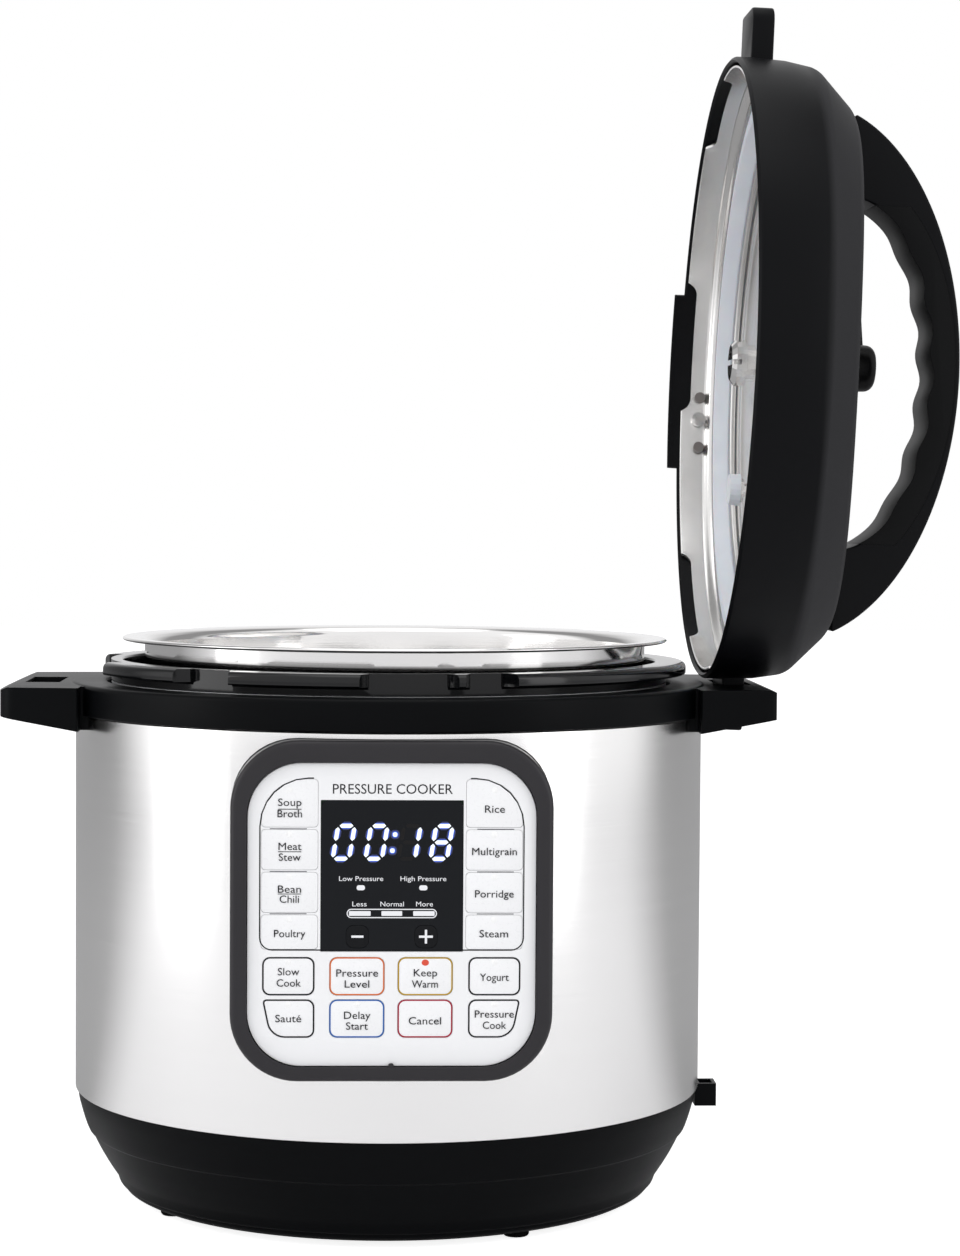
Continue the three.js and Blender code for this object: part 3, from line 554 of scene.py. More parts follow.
# %% Steel shell
panel_low = low("panel_bezel")
panel_high = high("panel_bezel")
panel_mid = (panel_low + panel_high) / 2
panel_w = panel_high.x - panel_low.x
panel_h = panel_high.z - panel_low.z
PANEL_CORNER = 27.0
PANEL_GAP = 0.7
SHEET = 1.2  # thickness of the pressed and rolled steel


def plate(width, height, radius, front, back, mid, steps=10, soft=0.0):
    """An upright rounded plate round a middle, from its front to its back along Y."""
    x, z = mid.x, mid.z
    bm = wire(corners(x - width / 2, x + width / 2, z - height / 2, z + height / 2))
    bmesh.ops.bevel(
        bm, geom=bm.verts[:], offset=radius, offset_type="OFFSET", segments=steps,
        profile=0.5, affect="VERTICES", material=-1
    )
    filled(bm, (0, front, 0), (0, back - front, 0))
    if soft:
        soften(bm, soft, 3, math.radians(60))
    return bm


def panel_opening():
    """The hole the panel passes through, with its clearance."""
    return plate(panel_w + PANEL_GAP, panel_h + PANEL_GAP, PANEL_CORNER, -170, -100, panel_mid)


def steel_shell():
    inner = shell_r - SHEET
    sleeve = spun(corners(inner, shell_r, shell_low, shell_high), [(2, 0.4), (1, 0.5)])
    return cut(sleeve, panel_opening())


finish_piece("shell_sleeve", steel_shell(), shell_steel, "base", ["steel_shell"])

# %% [markdown]
# ## Top rim and side handles
#
# The rim and both handles are one moulding. Each handle is an outline extruded upward, trimmed by
# two slanting planes (the rising underside and the falling tip), softened, joined to the spun rim
# and slotted for the lid's fin.

# %% Top rim
rim_r = radius_of("top_ring")
rim_top = high("top_ring").z
handle_tip = high("top_ring").x
HANDLE_TOP = rim_top - 0.6
HANDLE_ROOT = 131.5
HANDLE_HALF = 62.0
HANDLE_NECK = 50.0
HANDLE_TIP_HALF = 59.0
HANDLE_CORNER = 164.0
HANDLE_DEPTH = 18.5  # at the root, where the handle meets the rim
HANDLE_FLAT = 161.5  # the top falls away beyond this
UNDER_SLOPE = Vector((6.9, 0, -38.5)).normalized()
TIP_SLOPE = Vector((3.4, 0, 8.5)).normalized()
SLOT = ((143.2, -19.8), (158.2, 19.8))


def trim(bm, point, normal):
    """Cuts away what lies beyond a plane and closes the cut."""
    geom = bm.verts[:] + bm.edges[:] + bm.faces[:]
    made = bmesh.ops.bisect_plane(bm, geom=geom, plane_co=point, plane_no=normal, clear_outer=True)
    rim = [item for item in made["geom_cut"] if isinstance(item, bmesh.types.BMEdge)]
    bmesh.ops.contextual_create(bm, geom=rim)
    bmesh.ops.recalc_face_normals(bm, faces=bm.faces[:])
    return bm


def handle_block():
    root, side, half = HANDLE_ROOT, HANDLE_CORNER, HANDLE_TIP_HALF
    points = [
        (110, -HANDLE_NECK), (root, -HANDLE_NECK), (root, -HANDLE_HALF), (side, -half),
        (handle_tip - 1.4, -30), (handle_tip - 1.4, 30), (side, half), (root, HANDLE_HALF),
        (root, HANDLE_NECK), (110, HANDLE_NECK),
    ]
    rounds = [(7, 1.2), (6, 6), (5, 28), (4, 28), (3, 6), (2, 1.2)]
    bm = slab(points, rounds, 24, HANDLE_TOP - 24)
    under = HANDLE_TOP - HANDLE_DEPTH
    trim(bm, (HANDLE_ROOT, 0, under), UNDER_SLOPE)
    trim(bm, (120, 0, under), (0, 0, -1))
    trim(bm, (HANDLE_FLAT, 0, HANDLE_TOP), TIP_SLOPE)
    return soften(bm, 1.3, 3, math.radians(20))


def top_rim():
    inner = shell_r - SHEET - 0.35
    profile = [
        (inner - 3, shell_high - 1.5), (inner, shell_high - 1.5), (inner, shell_high + 0.35),
        (rim_r, shell_high + 0.35), (rim_r, rim_top), (124, rim_top), (124, rim_top - 3),
        (inner - 3, rim_top - 3),
    ]
    rim = spun(profile, [(5, 0.8), (4, 2.0), (3, 0.7)])
    core = spun(corners(0, inner - 2.5, 190, 240))
    handle = cut(handle_block(), core)
    handle = cut(handle, block((*SLOT[0], 190), (*SLOT[1], 240)))
    other = moved(handle.copy(), turn=math.pi)
    return cut(joined(joined(rim, handle), other), panel_opening())


finish_piece("top_rim", top_rim(), satin_black, "base", ["top_ring"],
             sharp=math.radians(28))

# %% [markdown]
# ## Locking ring
#
# The bayonet ring is glossy black. Its lugs catch the teeth of the lid, so the flange is cut into
# six tabs that stand proud of a plain neck.

# %% Locking ring
lock_r = high("locking_ring").y
lock_low = low("locking_ring").z
lock_top = high("locking_ring").z
LOCK_IN = 117.0
LUG_REACH = 8.4
LUG_LOW = lock_top - 5.4
# Each gap's direction and width, in degrees.
LUG_GAPS = [(-176, 30), (-127, 9), (-87, 14), (-72, 6), (52, 16), (112, 16)]


def locking_ring():
    neck = lock_r - LUG_REACH
    ring = spun([
        (LOCK_IN, lock_low), (neck, lock_low), (neck, LUG_LOW), (lock_r, LUG_LOW), (lock_r, lock_top),
        (LOCK_IN, lock_top),
    ], [(5, 1.0), (4, 2.6), (3, 0.8), (2, 1.2)])
    for direction, width in LUG_GAPS:
        half = math.tan(math.radians(width / 2)) * lock_r
        points = [
            (neck - 6, -half), (neck + 1, -half), (neck + 3.4, -half - 2.4), (lock_r + 9, -half - 9),
            (lock_r + 9, half + 9), (neck + 3.4, half + 2.4), (neck + 1, half), (neck - 6, half),
        ]
        notch = slab(points, [(6, 1.5), (5, 3), (2, 3), (1, 1.5)], 20, LUG_LOW - 2)
        room = spun(corners(neck, lock_r + 9, 200, 260))
        notch = boolean(moved(notch, turn=math.radians(direction)), room, "INTERSECT")
        ring = cut(ring, notch)
    return ring


finish_piece("locking_ring_fine", locking_ring(), lock_black, "base", ["locking_ring"])

# %% [markdown]
# ## Inner pot
#
# A drawn stainless pot: straight wall, generous base radius and an outward rim whose lip is
# rolled. It is spun as one closed wall with a thickness.

# %% Inner pot
pot_low = low("inner_pot").z
pot_top = high("inner_pot").z
pot_rim_r = radius_of("inner_pot")
pot_x = (high("inner_pot").x + low("inner_pot").x) / 2
POT_R = 110.0
print(f"pot: {2 * pot_rim_r:.0f} mm over its rim, {pot_x:.1f} mm off the axis")


def inner_pot():
    r, t = POT_R, SHEET
    profile = [
        (0, pot_low), (r, pot_low), (r, pot_top - 1.9), (pot_rim_r - 0.8, pot_top - 1.5),
        (pot_rim_r, pot_top - 0.8), (pot_rim_r - 0.8, pot_top), (r + 1.4, pot_top - 0.3),
        (r - t, pot_top - 3.0), (r - t, pot_low + 5), (0, pot_low + 5),
    ]
    rounds = [(8, 7), (7, 1.4), (6, 1.4), (5, 0.3), (4, 0.4), (3, 0.3), (2, 0.4), (1, 8)]
    return moved(spun(profile, rounds), (pot_x, 0, 0))


finish_piece("pot_body", inner_pot(), pot_steel, "pot", ["inner_pot"])

# %% [markdown]
# ## Lid placement
#
# The lid is modelled lying flat, then stood in the handle. The lift joint's axis is the lid's
# "up" in its own plane and the float's axis is its outward normal, so the frame gives the turn.

# %% Lid placement
lid_up = Vector(joints["lid_lift"]["axis"]).normalized()
lid_out = Vector(joints["float_travel"]["axis"]).normalized()
lid_side = lid_out.cross(-lid_up).normalized()
lid_turn = Matrix((-lid_up, lid_side, lid_out)).transposed()
KNOB = Vector((-6, 45, 60))  # the release valve's pivot, in the lid's own frame
lid_centre = Vector(joints["steam_release_turn"]["pos_m"]) / MM - lid_turn @ KNOB
lid_place = Matrix.Translation(lid_centre) @ lid_turn.to_4x4()
print("lid centre, mm:", tuple(round(c, 1) for c in lid_centre))


def on_lid(name, bm, material, node):
    """A piece that is modelled lying flat and stands with the lid."""
    return finish_piece(name, bm, material, "lid", [node], lid_place)


# %% [markdown]
# ## Lid shell
#
# A drum wall, a bevel and a nearly flat crown. The crown swells towards the two fins and dips
# towards the front and rear, so its points are lifted by a smooth two-lobed factor.

# %% Lid shell
LID_R = 136.4
DRUM = 32.0
CROWN_R = 115.5
CROWN = 49.0
SADDLE = 0.08
FIN_TIP = 158.0
LID_WALL = 2.4
LID_HOLES = (((-6, 45), 6.4), ((52, 40), 5.2))  # the steam pipe's and the float's, with their radii


def saddle(bm):
    for vert in bm.verts:
        x, y, z = vert.co
        reach = min(1.0, math.hypot(x, y) / CROWN_R)
        swing = (x * x - y * y) / max(x * x + y * y, 1.0)
        if z > 20:
            vert.co.z = z * (1 + SADDLE * swing * reach * reach)
    return bm


def lid_fin():
    fin = slab(corners(126, FIN_TIP, -18, 18), [(2, 7), (1, 2)], 9.6, 8)
    return soften(fin, 0.9, 2, math.radians(50))


def pierced(body, start):
    """Opens the holes that the lid's valves pass through, from a height upward."""
    for spot, radius in LID_HOLES:
        hole = spun(corners(0, radius, start, 70), (), SMALL_STEPS)
        body = cut(body, moved(hole, (*spot, 0)))
    return body


def lid_shell():
    w = LID_WALL
    profile = [
        (0, CROWN + 1.8 - w), (80, CROWN + 1.2 - w), (CROWN_R - 2.2, CROWN - w),
        (LID_R - 5.6, DRUM + 1.2 - w), (LID_R - 2.6 - w, DRUM - 3), (LID_R - w, 1), (LID_R - 1.5, 0),
        (LID_R, 1.2), (LID_R, 8), (LID_R - 0.8, 20.6), (LID_R - 3.2, DRUM + 0.8), (CROWN_R, CROWN),
        (80, CROWN + 1.2), (40, CROWN + 1.7), (0, CROWN + 1.8),
    ]
    rounds = [(11, 4), (10, 2.6), (7, 0.5), (5, 0.4)]
    crown = saddle(spun(profile, rounds))
    drop = math.radians(18)
    skirt = spun([
        (LID_R - w, 2), (LID_R - w, -4.6), (LID_R - 0.6, -4.6), (LID_R - 0.1, 2),
    ], [(2, 0.6), (1, 0.6)], 28, 2 * drop, math.pi / 2 - drop)
    core = spun(corners(0, LID_R - 1.5, -2, 30))
    fin = cut(lid_fin(), core)
    other = moved(fin.copy(), turn=math.pi)
    return pierced(joined(joined(joined(crown, skirt), fin), other), 20)


def lid_finish():
    """The drum is satin. Its crown is rougher and is painted a shade lighter, as a painted sheen."""
    finish = Finish("lid_black")
    where = finish.place()
    texture = finish.noise(where, 2600.0, 2.0)
    cloud = finish.noise(where, 28.0, 3.0)
    product = {"operation": "DOT_PRODUCT"}
    along = finish.node("ShaderNodeVectorMath", product, {0: where, 1: tuple(lid_out)}, output=1)
    start = lid_centre.dot(lid_out) + DRUM - 3
    crown = finish.node("ShaderNodeMapRange", {}, {0: along, 1: start * MM, 2: (start + 3.5) * MM})
    drum_tint = finish.blend(cloud, (0.0026, 0.0028, 0.0035), (0.0036, 0.0038, 0.0047))
    # The crown's lighter colour is a painted sheen.
    tint = finish.blend(crown, drum_tint, (0.024, 0.024, 0.026))
    rough = 0.38 + (cloud - 0.5) * 0.1 + crown * 0.12
    return finish.set(
        Base_Color=tint, Roughness=rough, Specular_IOR_Level=0.09,
        Normal=finish.bump(texture, 0.3, 0.00006)
    )


lid_black = lid_finish()
on_lid("lid_outer", lid_shell(), lid_black, "lid_shell")

# %% [markdown]
# ## Steel inner lid
#
# A pressed plate: an upright wall that carries the locking teeth, a rolled step for the seal and a
# nearly flat roof. Six shallow notches with ramped sides open the wall's edge.

# %% Inner lid
PLATE_R = LID_R - LID_WALL - 1.2
LID_FLOOR = 25.4
NOTCH_START = 7.5


def inner_lid():
    t, r, roof = SHEET, PLATE_R, 27.0
    upper = r - t - 2.6
    body = spun([
        (0, roof), (CROWN_R - 12, roof), (CROWN_R - 8.6, LID_FLOOR), (upper, LID_FLOOR), (upper, 15.2),
        (r - t, 13), (r - t, 1.2), (r, 1.2), (r, 13.4), (upper + t, 15.6), (upper + t, LID_FLOOR + t),
        (CROWN_R - 8.2, LID_FLOOR + t), (CROWN_R - 11.6, roof + t), (0, roof + t),
    ], [
        (12, 2), (11, 2), (10, 1.4), (9, 1.0), (8, 1.0), (7, 0.5), (6, 0.5), (5, 1.0), (4, 1.4),
        (3, 1.4), (2, 2), (1, 2),
    ])
    half = math.tan(math.radians(12)) * r
    outline = [(-half - 6, -4), (half + 6, -4), (half, 5.7), (-half, 5.7)]
    for index in range(6):
        notch = moved(sheet(outline, [(3, 3), (2, 3)], 0, 30), (0, r - 18, 0))
        body = cut(body, moved(notch, turn=math.radians(NOTCH_START + 60 * index)))
    return pierced(body, 10)


on_lid("lid_inner_plate", inner_lid(), lid_steel, "lid_plate")

# %% [markdown]
# ## Seal, rack and valves
#
# The seal is a lipped silicone ring under a wire rack. The release valve turns on its pipe, the
# float rises in its hole, and a slotted shield guards the pipe's mouth inside the lid.

# %% Seal and rack
def sealing_ring():
    floor = LID_FLOOR
    return spun([
        (112, floor - 3.2), (115, floor - 10.8), (117.4, floor - 5.8), (120.6, floor - 5.8),
        (124, floor - 9.6), (126, floor - 1.2), (118.4, floor - 0.3), (114, floor - 0.3),
    ], [(7, 1), (6, 1), (5, 0.9), (4, 0.8), (3, 1), (2, 1), (1, 0.8), (0, 0.9)])


on_lid("seal_lips", sealing_ring(), milky_silicone, "sealing_ring")
rack_low = LID_FLOOR - 3
rack_top = LID_FLOOR - 0.4
rack = spun(corners(109, 111.2, rack_low, rack_top), even(1))
on_lid("seal_rack", rack, plain_steel, "sealing_rack")


# %% Release valve
CROWN_AT = CROWN + 4.4


def release_knob():
    pipe_top = CROWN + 12
    knob = spun([
        (0, pipe_top + 2), (5.2, pipe_top + 2), (6.8, CROWN + 6), (6.8, CROWN_AT), (10.6, CROWN_AT),
        (11, CROWN_AT + 14), (10.4, 79), (0, 79.6),
    ], [(6, 4), (4, 0.8)], SMALL_STEPS)
    lever = block((-4.2, -27, CROWN_AT + 8.4), (4.2, -5, CROWN_AT + 21))
    soften(lever, 2.4, 4)
    moved(lever, turn=math.radians(-120))
    body = joined(knob, lever)
    return moved(body, (KNOB.x, KNOB.y, 0))


finish_piece("release_knob", release_knob(), valve_black, "steam_release",
             ["steam_release_knob"], lid_place)

# %% [markdown]
# ## Lid handle
#
# The carrying arch is an ellipse standing on the crown with the hand gap cut out of it. A grip
# insert lines the gap, with soft finger scallops.

# %% Lid handle
ARCH = {"mid": 35.4, "half": 118.0, "rise": 71.0, "in_half": 77.0, "in_rise": 39.5, "foot": 54.6}
ARCH_HALF_W = 17.0
GRIP_T = 10.4
GRIP_SPAN = 74.0


def arc_points(half, rise, base, steps, wave=0.0):
    points = []
    for index in range(steps + 1):
        angle = math.pi * (1 - index / steps)
        x = half * math.cos(angle)
        swell = wave * math.cos(TURN * x / 22)
        points.append((x, base + (rise + swell) * math.sin(angle)))
    return points


def upright(points, half_width):
    return sheet(points, (), -half_width, half_width)


def shortened(bm, half):
    """Keeps what lies within half a span of the middle, along X."""
    for side in (1, -1):
        trim(bm, (side * half, 0, 0), (side, 0, 0))
    return bm


def lid_handle():
    foot = ARCH["foot"]
    outer = [p for p in arc_points(ARCH["half"], ARCH["rise"], ARCH["mid"], 96) if p[1] > foot + 0.4]
    inner = arc_points(ARCH["in_half"], ARCH["in_rise"], foot, 72)
    edge = ARCH["half"] * 0.955
    arch = upright([(-edge, foot), *outer, (edge, foot), *reversed(inner)], ARCH_HALF_W)
    soften(arch, 2.4, 4, math.radians(50))
    pocket_out = arc_points(ARCH["in_half"] + GRIP_T + 0.1, ARCH["in_rise"] + GRIP_T + 0.1, foot, 72)
    pocket_in = arc_points(ARCH["in_half"] - 6, ARCH["in_rise"] - 6, foot, 60)
    pocket = upright([*pocket_out, *reversed(pocket_in)], ARCH_HALF_W + 2)
    return cut(arch, shortened(pocket, GRIP_SPAN + 0.04))


def handle_grip():
    foot = ARCH["foot"]
    outer = arc_points(ARCH["in_half"] + GRIP_T, ARCH["in_rise"] + GRIP_T, foot, 96)
    inner = arc_points(ARCH["in_half"], ARCH["in_rise"], foot, 120, 1.1)
    grip = upright([*outer, *reversed(inner)], ARCH_HALF_W)
    return soften(shortened(grip, GRIP_SPAN), 1.6, 3, math.radians(45))


on_lid("lid_arch", lid_handle(), arch_black, "lid_handle")
on_lid("grip_insert", handle_grip(), grip_black, "handle_grip")

# %% [markdown]
# ## Control panel
#
# A dark bezel frames a silver film. The keys are pale fields with printed outlines; the display is
# a dark window with seven-segment digits, two pressure lamps and three level bars.

# %% Bezel and fascia
fascia_low = low("panel_fascia")
fascia_high = high("panel_fascia")
window_low = low("display_window")
window_high = high("display_window")
FASCIA_CORNER = 21.5
FASCIA_GAP = 0.5
WINDOW_GAP = 0.3
THROUGH = 5.0  # how far a cutting plate reaches past what it cuts
KEY_SEAM = 0.12
KEY_ROOM = 0.6  # behind a key, for its travel
face_y = fascia_low.y


def middle(node):
    return (low(node) + high(node)) / 2


def rider_of(node):
    """The name of the body that a key is."""
    return node.replace("key_", "") + "_key"


SIDE_KEYS = [
    "key_soup", "key_meat", "key_bean", "key_poultry",
    "key_rice", "key_multigrain", "key_porridge", "key_steam",
]
KEY_RADIUS = 3.1
SIDE_RADIUS = 1.6
# Corner radii of the keys that differ, anticlockwise from the left foot.
OWN_RADII = {
    "key_saute": [5.6, 3.1, 3.1, 1.8], "key_pressure_cook": [3.1, 5.6, 1.8, 3.1],
    "key_soup": [1.6, 1.6, 1.6, 17.0], "key_rice": [1.6, 1.6, 17.0, 1.6],
}
KEY_CUT = 3.2  # how far the outer keys of the last row are cut back at the foot


def key_outline(node, grow=0.0):
    """A key's corner points and the radius of each."""
    a, b = low(node), high(node)
    left, right, foot = a.x - grow, b.x + grow, a.z - grow
    points = corners(left, right, foot, b.z + grow)
    if node == "key_saute":
        points[0] = (left + KEY_CUT, foot)
    if node == "key_pressure_cook":
        points[1] = (right - KEY_CUT, foot)
    radii = OWN_RADII.get(node, [SIDE_RADIUS if node in SIDE_KEYS else KEY_RADIUS] * 4)
    return points, list(enumerate(radii))


WINDOW_KEYS = ["key_minus", "key_plus"]
key_nodes = sorted(name for name in nodes if name.startswith("key_"))


def fascia_plate(grow, front, back, soft=0.0):
    """A plate with the fascia's outline, grown in width and height."""
    mid = middle("panel_fascia")
    size = fascia_high - fascia_low
    return plate(size.x + grow, size.z + grow, FASCIA_CORNER, front, back, mid, 14, soft)


def bezel():
    front, back = panel_low.y, panel_high.y
    outer = plate(panel_w, panel_h, PANEL_CORNER, front, back, panel_mid, 14)
    soften(outer, 2.6, 5, math.radians(60))
    frame_ring = cut(outer, fascia_plate(FASCIA_GAP, front - THROUGH, back + THROUGH))
    tab = spun(corners(0, 1.3, face_y - 1.2, face_y + 0.6), (), 24)
    moved(tab, (middle("panel_fascia").x, 0, fascia_low.z - 0.1), -QUARTER, "X")
    return joined(frame_ring, tab)


def fascia():
    front, back = fascia_low.y, fascia_high.y
    mid = middle("display_window")
    span = window_high - window_low
    width, height = span.x + WINDOW_GAP, span.z + WINDOW_GAP
    hole = plate(width, height, 0.3, front - THROUGH, back + THROUGH, mid, 3)
    face = cut(fascia_plate(0, front, back, 0.3), hole)
    for node in key_nodes:
        if node not in WINDOW_KEYS:
            face = cut(face, key_pocket(node))
    return face


def key_pocket(node):
    """What is cut away for a key, its seam and its travel."""
    points, rounds = key_outline(node, KEY_SEAM)
    return sheet(points, rounds, face_y - THROUGH, high(node).y + KEY_ROOM)


def window():
    a, b = window_low, window_high
    glass = sheet(corners(a.x, b.x, a.z, b.z), [(0, 0.3), (1, 0.3), (2, 2.9), (3, 2.9)], a.y, b.y)
    for node in WINDOW_KEYS:
        glass = cut(glass, key_pocket(node))
    return glass


finish_piece("bezel_frame", bezel(), bezel_grey, "base", ["panel_bezel"])
finish_piece("fascia_film", fascia(), fascia_silver, "base", ["panel_fascia"])
finish_piece("window_glass", window(), window_dark, "base", ["display_window"])

# %% [markdown]
# ## Keys
#
# Each key is a field of the film that gives under a finger. It lies flush in its own seam, with a
# very low dome and a clear lens over its lamp. Outlines and words are thin prints on top, and they
# ride with their key, so they move when it is pressed.

# %% Keys and lenses
DOME = 0.22
key_face = face_y - 0.04


def domed_key(node):
    points, rounds = key_outline(node)
    body = sheet(points, rounds, key_face, high(node).y)
    soften(body, 0.15, 2, math.radians(50))
    mid = middle(node)
    radius = min(5.6, (high(node).z - low(node).z) / 2 - 0.8)
    curve = [
        (0, DOME), (radius * 0.45, DOME * 0.8), (radius * 0.8, DOME * 0.3), (radius, -0.1), (0, -0.1),
    ]
    dome = moved(spun(curve, (), SMALL_STEPS), (mid.x, key_face, mid.z), QUARTER, "X")
    return together(body, dome)


def lens(x, z, radius=1.5):
    bump = spun([(0, 0.34), (radius * 0.6, 0.24), (radius, -0.1), (0, -0.1)], (), 24)
    return moved(bump, (x, face_y, z), QUARTER, "X")


NO_LENS = ["key_pressure_level", "key_cancel", "key_keep_warm"]
for node in key_nodes:
    rider = rider_of(node)
    dark = node in WINDOW_KEYS
    finish_piece(node.replace("key_", "film_"), domed_key(node), key_dark if dark else key_film, rider,
                 [node])
    if not dark and node not in NO_LENS:
        top = 1.9 if node not in ("key_soup", "key_rice") else 4.2
        spot = lens(middle(node).x, high(node).z - top)
        finish_piece(node.replace("key_", "lens_"), spot, lens_film, rider)
warm_mid = middle("key_keep_warm")
warm = lens(warm_mid.x, high("key_keep_warm").z - 2.2, 1.6)
bmesh.ops.scale(warm, verts=warm.verts[:], vec=(1.1, 1, 1), space=Matrix.Translation(-warm_mid))
finish_piece("lamp_keep_warm", warm, led_red, "keep_warm_key")

# %% [markdown]
# ## Printed lines and words
#
# A printed line is a face whose middle is taken away by an inset, given a few hundredths of a
# millimetre of ink. Words come from the built-in typeface, turned into meshes and stood upright.

# %% Printing helpers
INK = 0.05
LINE = 0.55


def line_ring(points, rounds, front, width=LINE):
    """A closed printed line of even width, inside its outline."""
    return filled(wire(points, rounds), (0, front, 0), (0, -INK, 0), width)


def bar(x0, x1, z0, z1, front, radius=0.0, ink=INK):
    return sheet(corners(x0, x1, z0, z1), even(radius) if radius else (), front - ink, front)


def on_panel(name, bm, material):
    """A print or a light of the panel that stays with the base."""
    return finish_piece(name, bm, material, "base")


def words(text, width, x, z, front, size, ink=INK):
    """A line of type, centred on x with its foot at z, set to a width in millimetres."""
    curve = bpy.data.curves.new("type", "FONT")
    curve.body = text
    curve.size = size
    curve.align_x = "CENTER"
    curve.extrude = ink / 2
    curve.resolution_u = 3
    made = bpy.data.objects.new("type", curve)
    bpy.context.scene.collection.objects.link(made)
    bpy.context.view_layer.update()
    mesh = bpy.data.meshes.new_from_object(made.evaluated_get(bpy.context.evaluated_depsgraph_get()))
    bm = bmesh.new()
    bm.from_mesh(mesh)
    bpy.data.objects.remove(made)
    bpy.data.meshes.remove(mesh)
    bmesh.ops.remove_doubles(bm, verts=bm.verts[:], dist=1e-5)
    across = [vert.co.x for vert in bm.verts]
    stretch = width / (max(across) - min(across))
    bmesh.ops.scale(bm, verts=bm.verts[:], vec=(stretch, 1, 1))
    return moved(bm, (x, front - ink / 2, z), QUARTER, "X")


# %% Words and outlines on the keys
TYPE = 4.25
label_y = key_face - DOME - 0.03
panel_z = panel_mid.z
# word, width, height of its foot above the panel's middle
KEY_WORDS = {
    "key_soup": [("Soup", 9.3, 42.0), ("Broth", 9.7, 37.5)],
    "key_meat": [("Meat", 9.1, 24.5), ("Stew", 8.7, 20.2)],
    "key_bean": [("Bean", 9.2, 7.5), ("Chili", 7.7, 3.5)],
    "key_poultry": [("Poultry", 12.4, -10.2)],
    "key_rice": [("Rice", 7.9, 39.5)],
    "key_multigrain": [("Multigrain", 17.8, 22.6)],
    "key_porridge": [("Porridge", 15.4, 5.7)],
    "key_steam": [("Steam", 11.4, -10.2)],
    "key_slow_cook": [("Slow", 8.5, -25.4), ("Cook", 9.6, -29.9)],
    "key_pressure_level": [("Pressure", 16.6, -25.9), ("Level", 9.8, -30.3)],
    "key_keep_warm": [("Keep", 9.3, -25.8), ("Warm", 10.4, -30.3)],
    "key_yogurt": [("Yogurt", 11.5, -27.6)],
    "key_saute": [("Saut\u00e9", 10.3, -44.1)],
    "key_delay": [("Delay", 10.5, -42.8), ("Start", 8.7, -47.1)],
    "key_cancel": [("Cancel", 12.9, -45.0)],
    "key_pressure_cook": [("Pressure", 15.6, -42.3), ("Cook", 9.3, -46.8)],
}
RULED = {"key_soup": 40.7, "key_meat": 23.8, "key_bean": 7.0}
OUTLINES = {
    "key_slow_cook": print_black, "key_pressure_level": print_orange, "key_keep_warm": print_yellow,
    "key_yogurt": print_black, "key_saute": print_black, "key_delay": print_blue,
    "key_cancel": print_crimson, "key_pressure_cook": print_black,
}
for node, lines in KEY_WORDS.items():
    x = middle(node).x
    printed = [words(text, width, x, panel_z + foot, label_y, TYPE) for text, width, foot in lines]
    if node in RULED:
        z = panel_z + RULED[node]
        printed.append(bar(x - 4.6, x + 4.6, z - 0.14, z + 0.14, label_y))
    finish_piece(node.replace("key_", "words_"), together(*printed), print_black, rider_of(node))
for node, color in OUTLINES.items():
    outline = line_ring(*key_outline(node), key_face)
    finish_piece(node.replace("key_", "outline_"), outline, color, rider_of(node))


# %% Lines on the fascia
def side_frame(side):
    """The open outline round the four keys of one side."""
    edge, near_x = 52.6, 27.8
    points = corners(-edge, -10, panel_z - 15.6, panel_z + 53.3)
    frame_line = line_ring(points, [(0, 5.2), (3, 19.5)], face_y, 0.5)
    trim(frame_line, (-near_x - 0.6, 0, panel_z), Vector((1, 0, 0.05)).normalized())
    if side > 0:
        bmesh.ops.scale(frame_line, verts=frame_line.verts[:], vec=(-1, 1, 1))
        bmesh.ops.recalc_face_normals(frame_line, faces=frame_line.faces[:])
    return frame_line


on_panel("side_frames", together(side_frame(-1), side_frame(1)), print_black)
rules = []
for height in (32.9, 15.9, -0.9):
    for side in (-1, 1):
        ends = sorted((side * 48.4, side * 33.8))
        rules.append(bar(*ends, panel_z + height - 0.15, panel_z + height + 0.15, face_y))
on_panel("side_rules", together(*rules), print_grey)
on_panel("panel_title", words("PRESSURE COOKER", 47.5, 0, panel_z + 46.9, face_y, 5.6), print_black)

# %% [markdown]
# ## Display
#
# Seven-segment digits lean a little. Each lit segment is a pointed bar: a bright core on a wider
# blue glow, over a dim blue field. Unlit segments stay just visible in the dark window.

# %% Digits
LEAN = 0.165
DIGIT_W = 6.5
DIGIT_H = 13.1
digit_z = panel_z + 27.6
SEGMENTS = {"0": "abcdef", "1": "bc", "8": "abcdefg"}


def segment(kind, x, thick):
    """One pointed bar of a digit centred on x, upright before it leans."""
    w, h, t = DIGIT_W / 2, DIGIT_H / 2, thick / 2
    across = {"a": h, "g": 0.0, "d": -h}
    gap = 0.55
    if kind in across:
        z, reach = across[kind], w - gap
        points = [
            (-reach, z), (-reach + t, z - t), (reach - t, z - t),
            (reach, z), (reach - t, z + t), (-reach + t, z + t),
        ]
    else:
        side = w if kind in "bc" else -w
        middle_z = h / 2 if kind in "bf" else -h / 2
        reach = h / 2 - gap
        points = [
            (side, middle_z - reach), (side + t, middle_z - reach + t), (side + t, middle_z + reach - t),
            (side, middle_z + reach), (side - t, middle_z + reach - t), (side - t, middle_z - reach + t),
        ]
    return [(x + across_x + LEAN * z, digit_z + z) for across_x, z in points]


def digit_layer(thick, front, ink):
    bars = []
    for x, text in ((-19.2, "0"), (-6.2, "0"), (6.9, "1"), (19.6, "8")):
        for kind in SEGMENTS[text]:
            bars.append(sheet(segment(kind, x, thick), [], front - ink, front))
    reach = thick * 0.55
    for dot_z, dot_x in ((3.1, 1.15), (-3.3, 0.1)):
        dot_z += digit_z
        dot = bar(dot_x - reach, dot_x + reach, dot_z - reach, dot_z + reach, front, thick * 0.45, ink)
        bars.append(dot)
    return together(*bars)


